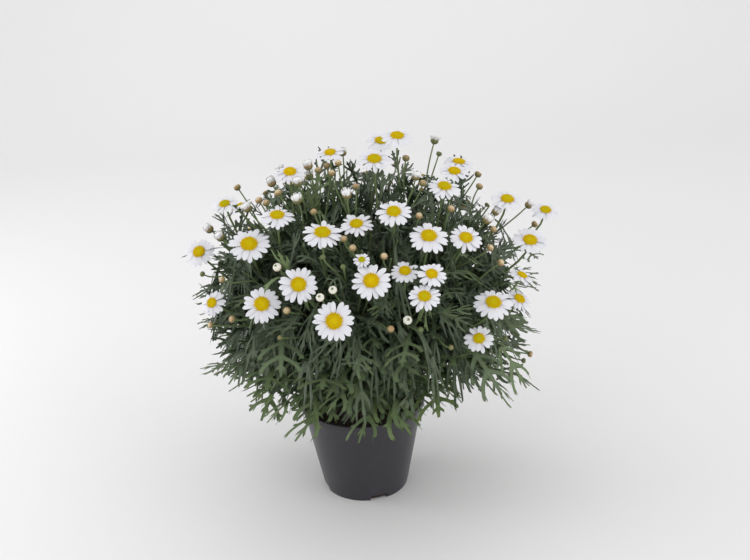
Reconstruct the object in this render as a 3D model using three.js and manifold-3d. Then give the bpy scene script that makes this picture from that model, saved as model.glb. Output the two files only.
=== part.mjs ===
// Potted marguerite daisy: a bushy plant with white flower heads in a round nursery pot.
// Millimetres, +Z up, origin at the centre of the pot's foot, the front towards -Y.
// A bearing is an angle in degrees round the pot's axis: 0 is the front, 90 is +X, 180 is the back.
import * as THREE from "three";
import { mergeVertices } from "three/addons/utils/BufferGeometryUtils.js";
import Module from "manifold-3d";

const wasm = await Module();
wasm.setup();

// Driving dimensions
const GAP = 0.3;
const GOLDEN_ANGLE = 137.5;

// Pot, soil and woody base
const POT = {
  height: 130,
  footRadius: 58,
  footEdge: 1,
  wallRadius: 81.8,
  lipRadius: 85,
  lipHeight: 8,
  lipStep: 0.8,
  lipWall: 2,
  wall: 1.4,
  floor: 2.2,
  sides: 32,
};
const NOTCH = { count: 4, firstBearing: 17, width: 24, height: 8, shoulder: 4.4, corner: 4, depth: 8 };
const SOIL = {
  top: 118,
  bottomGap: 0.4,
  wallGap: 0.6,
  rimWidth: 8,
  rimDrop: 2.5,
  rings: [54, 34],
  crest: 1,
  relief: 2.5,
  sides: 20,
};
const TRUNK = { foot: 80, radius: 8, crown: 128, taper: 0.85, sides: 7, holeRadius: 8.5 };
const STUB = { radius: 4.6, sides: 5, root: 4, bend: 8 };
const FORK = { reach: 22, height: 150, rise: 55, collar: 46, collarRadius: 3.6 };

// Dense middle of the bush, with an eye left open over the trunk, and the dome that the far heads reach
const CORE = {
  centre: [6, 0, 262],
  radii: [104, 94, 92],
  detail: 2,
  lumps: 0.24,
  seam: 1.2,
  eyeRadius: 26,
  eyeHeight: 60,
  eyeSides: 10,
  seed: 11,
};
const WEDGE = { reach: 400, height: 600, bulge: 1.2 };
const DOME = { centre: [8, 0, 275], radii: [228, 200, 190], faceFrom: [8, 0, 150] };

// Flower heads, as shares of the head's radius
const BLOOM = {
  discShare: 0.37,
  domeShare: 0.16,
  valleyShare: 0.41,
  shoulderShare: 0.76,
  keelShare: 0.72,
  tipShare: [0.93, 1],
  droopShare: 0.06,
  petalFill: 0.84,
  petalSway: 0.1,
  layers: [-0.3, 0.6],
  thickness: 1.3,
  petalsOfPair: 12,
  petalsOfSingle: 10,
};
const FLORETS = [
  { radius: 0.62, rise: 0.95 },
  { radius: 0.85, rise: 0.65 },
];
const CUP = { share: 0.3, depth: 5 };

// Stalks, shoots and buds
const STALK = { tip: 1.2, foot: 2.2, sides: 3, steps: 3, leave: 0.22, belly: 0.12, arrive: 0.36, handle: 65 };
const LEAFY_STALK = {
  tip: 1.3,
  foot: 2,
  sides: 3,
  steps: 3,
  start: 52,
  lowest: 215,
  fall: 10,
  handle: 42,
  rise: 0.3,
  hang: 0.1,
};
const ROOTING = { depths: [0.8, 0.7, 0.6, 0.5, 0.35, 0], least: 20 };
const BUD_STALK = { sides: 4, radius: 1, reach: 42, shares: [0.55, 0.65, 0.75, 0.85], below: 15, bend: 0.4 };
const BUD_AXIS_FROM = [8, 0, 230];
// Rings of a bud, as distance along its axis from its middle and radius
const BUD_SHAPES = {
  closed: [
    [-4.8, 2],
    [-0.5, 5.6],
    [4.6, 2.4],
  ],
  open: [
    [-5.4, 2],
    [-1, 5.8],
    [5.5, 6.8],
  ],
};

// Leaves: a petiole, pairs of lobes and a last lobe, with a keel below
const LEAF = {
  foot: 0.55,
  footDepth: 0.9,
  rib: 2.1,
  ribTaper: [1.15, 0.5],
  depth: 1.3,
  widthShare: 0.46,
  lastLobe: 0.86,
  lean: 0.75,
  leftLean: 0.7,
  leftSpread: 0.94,
  lobeSag: 0.5,
  sunk: 0.1,
};
const LEAF_PLACE = {
  lookFrom: [6, 0, 225],
  coreShare: 1.1,
  tipShare: 1.3,
  fan: 220,
  fanShare: 0.9,
  fanStep: 61,
  swing: 0.42,
  spreadSway: 14,
  facing: 0.35,
  lengths: [0.85, 1.15],
  droops: [0.7, 1.3],
  shortAfter: 5,
  shortShare: 0.75,
  tries: 12,
  clearance: 0.6,
  ownClearance: 0.45,
};
const BLOOM_LEAVES = { from: 0.38, to: 0.84, count: 2, spread: 58, pairs: 2, petiole: 0.22 };
const BLOOM_LEAVES_LOW = { below: 360, length: 76, droop: 0.3, otherLength: 66, otherDroop: 0.12 };
const BLOOM_LEAVES_MORE = { every: 4, count: 3 };
const SKIRT_LEAVES = { from: 0.3, to: 1, count: 3, length: 92, spread: 50, petiole: 0.26 };
const SKIRT_LOW = { below: 215, droop: 0.34, otherDroop: 0.3 };
const SKIRT_CUT = { below: 200, pairs: 3, otherPairs: 2 };

const FINISHES = {
  pot: { color: 0x3b3a3f, roughness: 0.45 },
  soil: { color: 0x2a2420, roughness: 0.95 },
  wood: { color: 0x6b5a41, roughness: 0.85 },
  leaf: { color: 0x3f4a36, roughness: 0.6 },
  rays: { color: 0xeeecf2, roughness: 0.6 },
  disc: { color: 0xd9b80c, roughness: 0.75 },
};

// Each main branch fills one wedge of the bush, between two bearings.
const BRANCHES = [
  { name: "branch_left", from: -112, to: -42 },
  { name: "branch_front", from: -42, to: 14 },
  { name: "branch_front_right", from: 14, to: 57 },
  { name: "branch_right", from: 57, to: 126 },
  { name: "branch_back", from: 126, to: 248 },
];

// Flower heads: branch, x, y, z of the disc's foot, diameter, and the bearing and the height in
// degrees that the head faces. "pair" heads have their rays and disc as two pieces.
const HEADS = [
  ["left", -75, -30, 465, 41, 0, 70],
  ["left", -160, -25, 425, 36, -25, 70],
  ["left", -90, -90, 430, 45, 10, 75],
  ["left", -125, -105, 400, 54, 0, 60, "pair"],
  ["left", -195, -45, 370, 42, -20, 50],
  ["left", -175, -115, 330, 34, -25, 40],
  ["left", -25, -5, 480, 37, -15, 75],
  ["front", -35, -130, 420, 50, 10, 70, "pair"],
  ["front", 5, -105, 420, 42, -10, 70],
  ["front", -65, -165, 370, 48, 5, 40, "pair"],
  ["front", -110, -160, 345, 48, 5, 45, "pair"],
  ["front", -25, -195, 335, 52, 5, 35, "pair"],
  ["front", 20, -175, 375, 49, 0, 45, "pair"],
  ["front_right", 30, -25, 475, 46, 5, 70],
  ["front_right", 50, -110, 435, 45, 0, 65, "pair"],
  ["front_right", 90, -130, 410, 50, 5, 65, "pair"],
  ["front_right", 135, -115, 400, 43, 20, 60, "pair"],
  ["front_right", 60, -150, 375, 37, 0, 65],
  ["front_right", 90, -175, 380, 37, 10, 60],
  ["front_right", 80, -197, 362, 40, 0, 60],
  ["front_right", 165, -140, 325, 50, 10, 65, "pair"],
  ["front_right", 145, -165, 290, 38, -5, 55, "pair"],
  ["right", 60, 5, 495, 44, 15, 75],
  ["right", 130, -10, 450, 42, 25, 75],
  ["right", 140, 45, 445, 42, 35, 80],
  ["right", 115, -47, 443, 44, 25, 70],
  ["right", 195, -25, 415, 43, 15, 70],
  ["right", 245, -15, 395, 37, 15, 70],
  ["right", 220, -55, 370, 47, 10, 65, "pair"],
  ["right", 205, -95, 340, 34, 70, 65],
  ["right", 200, -110, 315, 37, 50, 60],
  ["back", 40, 55, 475, 43, 10, 75],
];

// Heads on the far side stand on the dome, each at a bearing and a height, with its diameter.
const BACK_HEADS = [
  [-118, 385, 44],
  [-135, 330, 41],
  [-150, 395, 43],
  [-170, 345, 45],
  [176, 400, 40],
  [158, 330, 44],
  [150, 400, 42],
  [135, 360, 45],
];

// Buds: branch, x, y, z of the bud's middle, and its kind.
const BUDS = [
  ["left", -150, 40, 425, "closed"],
  ["left", -100, -15, 447, "open"],
  ["left", -53, -12, 466, "open"],
  ["left", -115, -45, 435, "closed"],
  ["left", -165, -55, 392, "closed"],
  ["left", -148, -148, 322, "closed"],
  ["front", -40, -35, 467, "closed"],
  ["front", -5, -90, 452, "open"],
  ["front", 0, -150, 407, "closed"],
  ["front", -80, -175, 342, "closed"],
  ["front", 10, -158, 395, "open"],
  ["front_right", 80, -105, 427, "closed"],
  ["front_right", 36, -155, 397, "closed"],
  ["front_right", 60, -190, 330, "closed"],
  ["front_right", 110, -185, 290, "closed"],
  ["front_right", 180, -137, 275, "closed"],
  ["right", 110, 62, 470, "open"],
  ["right", 80, -47, 457, "closed"],
  ["right", 180, -28, 400, "open"],
  ["right", 228, 20, 390, "open"],
  ["right", 218, -82, 225, "closed"],
  ["back", -10, 25, 470, "closed"],
  ["back", 60, 110, 425, "closed"],
  ["back", -60, 120, 410, "open"],
];

// Leafy shoots without a flower: branch, bearing, reach from the axis and height of the tip.
const LEAFY_SHOOTS = [
  ["left", -102, 165, 205],
  ["left", -80, 195, 265],
  ["left", -68, 140, 190],
  ["left", -52, 165, 225],
  ["front", -34, 118, 207],
  ["front", -18, 140, 228],
  ["front", -4, 104, 210],
  ["front", 8, 140, 245],
  ["front_right", 22, 115, 205],
  ["front_right", 35, 150, 228],
  ["front_right", 50, 130, 207],
  ["right", 66, 175, 215],
  ["right", 82, 160, 185],
  ["right", 92, 190, 275],
  ["right", 112, 160, 205],
  ["back", 138, 150, 190],
  ["back", 155, 165, 235],
  ["back", 172, 140, 185],
  ["back", -172, 165, 245],
  ["back", -150, 145, 190],
  ["back", -128, 165, 220],
];

const vec = (x, y, z) => new THREE.Vector3(x, y, z);
const UP = vec(0, 0, 1);
const { degToRad, lerp } = THREE.MathUtils;

// A repeatable run of numbers between 0 and 1.
function seededRandom(seed) {
  let state = (seed * 7919 + 104729) % 2147483647;
  return () => {
    state = (state * 48271) % 2147483647;
    return state / 2147483647;
  };
}

// A unit vector that points to a bearing and, by its elevation, up.
function facing(bearing, elevation = 0) {
  const b = degToRad(bearing);
  const e = degToRad(elevation);
  return vec(Math.sin(b) * Math.cos(e), -Math.cos(b) * Math.cos(e), Math.sin(e));
}

// Solids from faces and from closed three.js geometries, and back
function solidFromFaces(points, faces) {
  return new wasm.Manifold(
    new wasm.Mesh({
      numProp: 3,
      vertProperties: new Float32Array(points.flatMap((p) => [p.x, p.y, p.z])),
      triVerts: new Uint32Array(faces.flat()),
    }),
  );
}

function welded(geometry) {
  const bare = geometry.clone();
  bare.deleteAttribute("normal");
  bare.deleteAttribute("uv");
  return mergeVertices(bare, 1e-3);
}

function solidFrom(geometry) {
  const merged = welded(geometry);
  return new wasm.Manifold(
    new wasm.Mesh({
      numProp: 3,
      vertProperties: merged.attributes.position.array,
      triVerts: new Uint32Array(merged.index.array),
    }),
  );
}

function geometryOf(solid) {
  const mesh = solid.getMesh();
  const geometry = new THREE.BufferGeometry();
  geometry.setAttribute("position", new THREE.BufferAttribute(mesh.vertProperties, 3));
  geometry.setIndex(new THREE.BufferAttribute(mesh.triVerts, 1));
  return geometry;
}

const joined = (solids) => solids.reduce((whole, piece) => whole.add(piece));

// Largest body of a joined solid: loose scraps and the walls of sealed hollows are left out
function oneBody(solid) {
  const bodies = solid.decompose();
  return bodies.reduce((best, body) => (body.volume() > best.volume() ? body : best));
}

// A tapering rod along a row of points, with one radius for each point.
function rod(points, radii, sides) {
  const rings = [];
  let side = vec(0, 0, 0);
  points.forEach((point, i) => {
    const ahead = points[Math.min(i + 1, points.length - 1)];
    const behind = points[Math.max(i - 1, 0)];
    const along = ahead.clone().sub(behind).normalize();
    if (i === 0) {
      side = Math.abs(along.z) > 0.9 ? vec(1, 0, 0) : UP.clone();
    }
    side = side.clone().addScaledVector(along, -side.dot(along)).normalize();
    const other = along.clone().cross(side);
    for (let k = 0; k < sides; k++) {
      const a = (2 * Math.PI * k) / sides;
      rings.push(
        point
          .clone()
          .addScaledVector(side, radii[i] * Math.cos(a))
          .addScaledVector(other, radii[i] * Math.sin(a)),
      );
    }
  });
  const faces = [];
  for (let i = 0; i + 1 < points.length; i++) {
    for (let k = 0; k < sides; k++) {
      const a = i * sides + k;
      const b = i * sides + ((k + 1) % sides);
      faces.push([a, b, b + sides], [a, b + sides, a + sides]);
    }
  }
  const last = (points.length - 1) * sides;
  for (let k = 1; k + 1 < sides; k++) {
    faces.push([0, k + 1, k], [last, last + k, last + k + 1]);
  }
  return solidFromFaces(rings, faces);
}

// Shape turned round the axis, from radii and heights
function turned(profile, sides) {
  const points = profile.map(([r, z]) => new THREE.Vector2(r, z));
  return new THREE.LatheGeometry(points, sides).rotateX(Math.PI / 2);
}

// Pot, with its drainage notches cut through the foot
function potSolid() {
  const wallTop = POT.height - POT.lipHeight;
  const shell = turned(
    [
      [0, 0],
      [POT.footRadius - 0.6 * POT.footEdge, 0],
      [POT.footRadius, POT.footEdge],
      [POT.wallRadius, wallTop],
      [POT.lipRadius, wallTop + POT.lipStep],
      [POT.lipRadius, POT.height],
      [POT.lipRadius - POT.lipWall, POT.height],
      [POT.wallRadius - POT.wall, wallTop - POT.lipStep],
      [POT.footRadius - POT.wall, POT.floor],
      [0, POT.floor],
    ],
    POT.sides,
  );
  let pot = solidFrom(shell);
  for (let i = 0; i < NOTCH.count; i++) {
    pot = pot.subtract(notchSolid(NOTCH.firstBearing + (360 * i) / NOTCH.count));
  }
  return pot;
}

// What a drainage notch takes out of the foot
function notchSolid(bearing) {
  const half = NOTCH.width / 2;
  const outline = new THREE.Shape();
  outline.moveTo(-half, -1);
  outline.lineTo(half, -1);
  outline.lineTo(half, NOTCH.shoulder);
  outline.lineTo(half - NOTCH.corner, NOTCH.height);
  outline.lineTo(NOTCH.corner - half, NOTCH.height);
  outline.lineTo(-half, NOTCH.shoulder);
  const cutter = new THREE.ExtrudeGeometry(outline, { depth: 2 * NOTCH.depth, bevelEnabled: false });
  cutter.rotateX(Math.PI / 2);
  cutter.translate(0, NOTCH.depth - POT.footRadius, 0);
  cutter.rotateZ(degToRad(bearing));
  return solidFrom(cutter);
}

// Soil, with lumps on its top and a plain hole for the trunk
function soilSolid() {
  const random = seededRandom(3);
  const innerFoot = POT.footRadius - POT.wall - SOIL.wallGap;
  const slope = (POT.wallRadius - POT.footRadius) / (POT.height - POT.lipHeight);
  const bottom = POT.floor + SOIL.bottomGap;
  const rim = innerFoot + slope * (SOIL.top - bottom);
  const holeFoot = TRUNK.foot - GAP;
  const [outer, inner] = SOIL.rings;
  const bed = welded(
    turned(
      [
        [0, bottom],
        [innerFoot, bottom],
        [rim - 0.5, SOIL.top - SOIL.rimDrop],
        [rim - SOIL.rimWidth, SOIL.top],
        [outer, SOIL.top + SOIL.crest],
        [inner, SOIL.top],
        [TRUNK.holeRadius, SOIL.top + SOIL.crest],
        [TRUNK.holeRadius, holeFoot],
        [0, holeFoot],
      ],
      SOIL.sides,
    ),
  );
  const place = bed.attributes.position;
  for (let i = 0; i < place.count; i++) {
    const radius = Math.hypot(place.getX(i), place.getY(i));
    const isTop = place.getZ(i) > SOIL.top - SOIL.crest;
    if (isTop && radius > 2 * TRUNK.holeRadius && radius < rim - SOIL.rimWidth / 2) {
      place.setZ(i, place.getZ(i) + SOIL.relief * (random() - 0.5) * 2);
    }
  }
  return solidFrom(bed);
}

// Bearing halfway through a branch's wedge, and half the wedge's angle
const middle = (branch) => (branch.from + branch.to) / 2;
const halfAngle = (branch) => degToRad((branch.to - branch.from) / 2);

// Where a branch leaves its woody stub, and where its shoots leave it
function forkOf(branch) {
  const start = facing(middle(branch)).multiplyScalar(FORK.reach).setZ(FORK.height);
  const way = facing(middle(branch), FORK.rise);
  return { start, way, end: start.clone().addScaledVector(way, FORK.collar) };
}

// Woody base: a trunk in the soil that forks into one stub for each branch
function woodySolid() {
  const trunk = rod(
    [vec(0, 0, TRUNK.foot), vec(0, 0, TRUNK.crown)],
    [TRUNK.radius, TRUNK.radius * TRUNK.taper],
    TRUNK.sides,
  );
  const stubs = BRANCHES.map((branch) => {
    const { start, way } = forkOf(branch);
    const end = start.clone().addScaledVector(way, -GAP);
    const bend = start.clone().addScaledVector(way, -STUB.bend);
    return rod(
      [vec(0, 0, TRUNK.crown - STUB.root), bend, end],
      [STUB.radius, STUB.radius, FORK.collarRadius],
      STUB.sides,
    );
  });
  return joined([trunk, ...stubs]);
}

// Places a shape that was made round +Z at a head's foot, turned to face the head's way
function placed(points, head) {
  const turn = new THREE.Quaternion().setFromUnitVectors(UP, head.normal);
  return points.map((p) => p.clone().applyQuaternion(turn).add(head.foot));
}

// Point in a head's own frame, by its radius, angle and height
const polar = (radius, angle, z) => vec(radius * Math.cos(angle), radius * Math.sin(angle), z);

// Dome of florets over a ring of vertices: a ring whose points stand out by turns, and a crown
function addDome(ring, R, base, add, faces) {
  const n = ring.length;
  const step = (2 * Math.PI) / n;
  const height = R * BLOOM.domeShare;
  const florets = ring.map((_, i) => {
    const { radius, rise } = FLORETS[i % 2];
    return add(polar(R * BLOOM.discShare * radius, step * (i - 0.5), base + height * rise));
  });
  const crown = add(vec(0, 0, base + height));
  for (let i = 0; i < n; i++) {
    const j = (i + 1) % n;
    faces.push([ring[i], ring[j], florets[j]], [ring[i], florets[j], florets[i]]);
    faces.push([florets[i], florets[j], crown]);
  }
}

// Rays of a head: petals with a keel below, in two layers, and, if asked, the disc grown on them
function raysSolid(head, withDisc) {
  const random = seededRandom(head.seed);
  const R = head.diameter / 2;
  const count = head.petals;
  const step = (2 * Math.PI) / count;
  const halfWidth = (BLOOM.petalFill * step) / 2;
  const points = [];
  const faces = [];
  const add = (p) => points.push(p) - 1;
  const hub = add(vec(0, 0, -BLOOM.thickness));
  const petals = Array.from({ length: count }, (_, i) => {
    const angle = step * (i + BLOOM.petalSway * (random() - 0.5));
    const layer = BLOOM.layers[i % 2];
    const reach = R * lerp(...BLOOM.tipShare, random());
    const droop = R * BLOOM.droopShare * (random() - 0.65);
    return {
      valley: add(polar(R * BLOOM.valleyShare, step * (i - 0.5), 0)),
      right: add(polar(R * BLOOM.shoulderShare, angle - halfWidth, layer)),
      tip: add(polar(reach, angle, layer + droop)),
      left: add(polar(R * BLOOM.shoulderShare, angle + halfWidth, layer)),
      keel: add(polar(R * BLOOM.keelShare, angle, layer - BLOOM.thickness)),
    };
  });
  petals.forEach((p, i) => {
    const next = petals[(i + 1) % count];
    faces.push([p.valley, p.right, p.left], [p.right, p.tip, p.left], [p.valley, p.left, next.valley]);
    faces.push([p.right, p.valley, p.keel], [p.tip, p.right, p.keel], [p.left, p.tip, p.keel]);
    faces.push([next.valley, p.left, p.keel], [next.valley, p.keel, hub], [p.valley, hub, p.keel]);
  });
  if (withDisc) {
    addDome(petals.map((p) => p.valley), R, 0, add, faces);
  } else {
    for (let i = 1; i + 1 < count; i++) {
      faces.push([petals[0].valley, petals[i].valley, petals[i + 1].valley]);
    }
  }
  return solidFromFaces(placed(points, head), faces);
}

// Disc of a head as its own piece, just above the rays
function discSolid(head) {
  const R = head.diameter / 2;
  const points = [];
  const faces = [];
  const add = (p) => points.push(p) - 1;
  const step = (2 * Math.PI) / head.petals;
  const ring = Array.from({ length: head.petals }, (_, i) =>
    add(polar(R * BLOOM.discShare, step * (i - 0.5), GAP)),
  );
  for (let i = 1; i + 1 < head.petals; i++) {
    faces.push([ring[0], ring[i + 1], ring[i]]);
  }
  addDome(ring, R, GAP, add, faces);
  return solidFromFaces(placed(points, head), faces);
}

// Point on a leaf's midrib, from 0 at its root to 1 at its tip
function ribPoint({ root, way, length, droop }, s) {
  return root
    .clone()
    .addScaledVector(way, length * s)
    .addScaledVector(UP, -droop * length * s * s);
}

// Leaf with pairs of pointed lobes that lean forward, arched along its rib
function leafSolid(leaf, margin = 0) {
  const { way, normal, length, width, droop, pairs, petiole } = leaf;
  const side = way.clone().cross(normal).normalize();
  const points = [];
  const faces = [];
  const add = (p) => points.push(p) - 1;
  const section = (s, half, depth) => ({
    right: add(ribPoint(leaf, s).addScaledVector(side, half + margin).addScaledVector(normal, margin)),
    left: add(ribPoint(leaf, s).addScaledVector(side, -half - margin).addScaledVector(normal, margin)),
    keel: add(ribPoint(leaf, s).addScaledVector(normal, -depth - margin)),
  });
  const lobeTip = (s, spread) =>
    add(
      ribPoint(leaf, s)
        .addScaledVector(side, spread)
        .addScaledVector(UP, -droop * Math.abs(spread) * LEAF.lobeSag),
    );
  const stations = Array.from({ length: pairs + 1 }, (_, i) => lerp(petiole, LEAF.lastLobe, i / pairs));
  const foot = section(0, LEAF.foot, LEAF.footDepth);
  const [ribFoot, ribFall] = LEAF.ribTaper;
  const ribs = stations.map((s) => section(s, LEAF.rib * (ribFoot - ribFall * s), LEAF.depth));
  const first = ribs[0];
  faces.push([foot.right, foot.left, foot.keel]);
  faces.push([foot.left, foot.right, first.left], [first.left, foot.right, first.right]);
  faces.push([foot.right, foot.keel, first.right], [first.right, foot.keel, first.keel]);
  faces.push([foot.keel, foot.left, first.keel], [first.keel, foot.left, first.left]);
  for (let i = 0; i + 1 < ribs.length; i++) {
    const a = ribs[i];
    const b = ribs[i + 1];
    const from = stations[i];
    const to = stations[i + 1];
    const spread = width * (1.05 - 0.45 * Math.abs(from - 0.45)) * 0.5 + margin;
    const rightTip = lobeTip(to + (to - from) * LEAF.lean, spread);
    const leftTip = lobeTip(to + (to - from) * LEAF.lean * LEAF.leftLean, -spread * LEAF.leftSpread);
    faces.push([a.left, a.right, b.left], [b.left, a.right, b.right]);
    faces.push([b.right, a.right, rightTip], [a.right, a.keel, rightTip]);
    faces.push([rightTip, a.keel, b.keel], [rightTip, b.keel, b.right]);
    faces.push([a.left, b.left, leftTip], [a.keel, a.left, leftTip]);
    faces.push([a.keel, leftTip, b.keel], [b.keel, leftTip, b.left]);
  }
  const last = ribs[ribs.length - 1];
  const tip = add(ribPoint(leaf, 1 + margin / length));
  faces.push([last.left, last.right, tip], [last.right, last.keel, tip], [last.keel, last.left, tip]);
  return solidFromFaces(points, faces);
}

// Core: a lumpy ball cut to the branch's wedge, open round the crown
function coreSolid(branch) {
  const random = seededRandom(CORE.seed);
  const ball = welded(new THREE.IcosahedronGeometry(1, CORE.detail));
  const place = ball.attributes.position;
  for (let i = 0; i < place.count; i++) {
    const lump = 1 + CORE.lumps * 2 * (random() - 0.5);
    const point = vec(place.getX(i), place.getY(i), place.getZ(i)).multiplyScalar(lump);
    place.setXYZ(i, ...[0, 1, 2].map((k) => point.getComponent(k) * CORE.radii[k] + CORE.centre[k]));
  }
  const apex = facing(middle(branch)).multiplyScalar(CORE.seam / Math.sin(halfAngle(branch)));
  const corners = [
    facing(branch.from).multiplyScalar(WEDGE.reach),
    facing(middle(branch)).multiplyScalar(WEDGE.reach * WEDGE.bulge),
    facing(branch.to).multiplyScalar(WEDGE.reach),
  ];
  const outline = new THREE.Shape();
  outline.moveTo(apex.x, apex.y);
  corners.forEach((corner) => outline.lineTo(apex.x + corner.x, apex.y + corner.y));
  const wedge = new THREE.ExtrudeGeometry(outline, { depth: WEDGE.height, bevelEnabled: false });
  const eye = new THREE.CylinderGeometry(CORE.eyeRadius, CORE.eyeRadius, CORE.eyeHeight, CORE.eyeSides);
  eye.rotateX(Math.PI / 2).translate(0, 0, FORK.height);
  return solidFrom(ball).intersect(solidFrom(wedge)).subtract(solidFrom(eye));
}

// How far out a point lies, where 1 is the core's own surface
function coreShare(point) {
  const [x, y, z] = [point.x, point.y, point.z].map((v, k) => (v - CORE.centre[k]) / CORE.radii[k]);
  return Math.hypot(x, y, z);
}

// Share of a curve at which it passes a level of the core for the last time
function leavesCoreAt(curve, level) {
  const spots = Array.from({ length: 51 }, (_, i) => i / 50);
  return spots.filter((t) => coreShare(curve.getPoint(t)) < level).pop() ?? 0;
}

// A flower stalk leaves the branch's collar and comes up to the head along the head's own axis
function flowerCurve(fork, tip, arrival) {
  const span = tip.distanceTo(fork.end);
  return new THREE.CubicBezierCurve3(
    fork.end,
    fork.end.clone().addScaledVector(fork.way, span * STALK.leave).addScaledVector(UP, span * STALK.belly),
    tip.clone().addScaledVector(arrival, -Math.min(span * STALK.arrive, STALK.handle)),
    tip,
  );
}

// A leafy shoot grows out of the core's side and hangs over
function leafyCurve(bearing, reach, z) {
  const { start, lowest, fall, handle, rise, hang } = LEAFY_STALK;
  const out = facing(bearing);
  const tip = out.clone().multiplyScalar(reach).setZ(z);
  const root = out.clone().multiplyScalar(start).setZ(Math.max(z + fall, lowest));
  return new THREE.CubicBezierCurve3(
    root,
    root.clone().addScaledVector(out, handle).addScaledVector(UP, handle * rise),
    tip.clone().addScaledVector(out, -handle).addScaledVector(UP, handle * hang),
    tip,
  );
}

// Tapering stalk along a curve from one share of it to its end, and on through any more points
function stalkSolid(curve, size, start, more) {
  const shares = Array.from({ length: size.steps + 1 }, (_, i) => i / size.steps);
  const points = shares.map((share) => curve.getPoint(lerp(start, 1, share)));
  const radii = shares.map((share) => lerp(size.foot, size.tip, share));
  return rod(
    [...points, ...more.map(([point]) => point)],
    [...radii, ...more.map(([, radius]) => radius)],
    size.sides,
  );
}

// Stalk that starts as far inside the core as it takes to be well rooted there
function rootedStalk(curve, size, core, more = []) {
  const stalks = ROOTING.depths.map((depth) => {
    const start = leavesCoreAt(curve, depth);
    return { curve, start, steps: size.steps, solid: stalkSolid(curve, size, start, more) };
  });
  return stalks.find((stalk) => stalk.solid.intersect(core).volume() > ROOTING.least);
}

// Point on the straight stretches that a stalk is made of, at a share of its curve
function onStalk({ curve, start, steps }, share) {
  const place = THREE.MathUtils.clamp(((share - start) / (1 - start)) * steps, 0, steps - 1e-6);
  const knot = (k) => curve.getPoint(lerp(start, 1, k / steps));
  const before = Math.floor(place);
  return knot(before).lerp(knot(before + 1), place - before);
}

// Bud on its stalk, which leaves the nearest shoot of its branch some way below the bud
function budSolid(bud, shoots) {
  const spots = shoots.flatMap(({ stalk }) => BUD_STALK.shares.map((share) => onStalk(stalk, share)));
  const tooHigh = 60;
  const badness = (p) =>
    Math.abs(p.distanceTo(bud.foot) - BUD_STALK.reach) + (p.z > bud.foot.z - BUD_STALK.below ? tooHigh : 0);
  const root = spots.reduce((best, p) => (badness(p) < badness(best) ? p : best));
  const rings = BUD_SHAPES[bud.kind];
  const neck = bud.foot.clone().addScaledVector(bud.normal, rings[0][0] - 1);
  const bend = neck.clone().addScaledVector(bud.normal, -BUD_STALK.bend * neck.distanceTo(root));
  const stalk = new THREE.QuadraticBezierCurve3(root, bend, neck).getPoints(2);
  const points = [...stalk, ...rings.map(([z]) => bud.foot.clone().addScaledVector(bud.normal, z))];
  const radii = [...stalk.map(() => BUD_STALK.radius), ...rings.map(([, radius]) => radius)];
  return rod(points, radii, BUD_STALK.sides);
}

// What leaves a head's stalk carries: longer and more drooping on the low ones
function bloomPlan(head) {
  const low = head.foot.z < BLOOM_LEAVES_LOW.below;
  const more = !low && head.seed % BLOOM_LEAVES_MORE.every === 0;
  return {
    ...BLOOM_LEAVES,
    count: more ? BLOOM_LEAVES_MORE.count : BLOOM_LEAVES.count,
    length: low ? BLOOM_LEAVES_LOW.length : BLOOM_LEAVES_LOW.otherLength,
    droop: low ? BLOOM_LEAVES_LOW.droop : BLOOM_LEAVES_LOW.otherDroop,
  };
}

// What leaves a leafy shoot carries, by the height of its tip
function skirtPlan(z) {
  return {
    ...SKIRT_LEAVES,
    droop: z < SKIRT_LOW.below ? SKIRT_LOW.droop : SKIRT_LOW.otherDroop,
    pairs: z < SKIRT_CUT.below ? SKIRT_CUT.pairs : SKIRT_CUT.otherPairs,
  };
}

// Slots for the leaves on a stalk: their roots and which way they may turn
function leafSlots(stalk, plan, seed) {
  const { curve } = stalk;
  const random = seededRandom(seed);
  const middleOfBush = vec(...LEAF_PLACE.lookFrom);
  const from = Math.max(plan.from, leavesCoreAt(curve, LEAF_PLACE.coreShare));
  return Array.from({ length: plan.count }, (_, i) => {
    const t = from + ((plan.to - from) * (i + 0.5 * random())) / plan.count;
    const root = onStalk(stalk, t);
    const along = curve.getTangent(t);
    const out = root.clone().sub(middleOfBush);
    const outward = out.addScaledVector(along, -out.dot(along)).normalize();
    const across = along.clone().cross(outward);
    const fan = ((i * GOLDEN_ANGLE + seed * LEAF_PLACE.fanStep) % LEAF_PLACE.fan) - LEAF_PLACE.fan / 2;
    const turn = degToRad(fan * LEAF_PLACE.fanShare);
    return { root, along, outward, across, turn, sway: [random(), random(), random()] };
  });
}

// One leaf in its slot; each further attempt turns it further round the stalk
function leafAt(slot, plan, attempt) {
  const swing = slot.turn + (attempt % 2 ? -1 : 1) * Math.ceil(attempt / 2) * LEAF_PLACE.swing;
  const radial = slot.outward
    .clone()
    .multiplyScalar(Math.cos(swing))
    .addScaledVector(slot.across, Math.sin(swing));
  const spread = degToRad(plan.spread + LEAF_PLACE.spreadSway * (slot.sway[0] - 0.5));
  const way = slot.along
    .clone()
    .multiplyScalar(Math.cos(spread))
    .addScaledVector(radial, Math.sin(spread))
    .normalize();
  const normal = UP.clone().addScaledVector(radial, LEAF_PLACE.facing);
  normal.addScaledVector(way, -normal.dot(way)).normalize();
  const short = attempt > LEAF_PLACE.shortAfter ? LEAF_PLACE.shortShare : 1;
  const length = plan.length * lerp(...LEAF_PLACE.lengths, slot.sway[1]) * short;
  return {
    root: slot.root.clone().addScaledVector(way, -LEAF.sunk),
    way,
    normal,
    length,
    width: length * LEAF.widthShare,
    droop: plan.droop * lerp(...LEAF_PLACE.droops, slot.sway[2]),
    pairs: plan.pairs,
    petiole: plan.petiole,
  };
}

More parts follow.
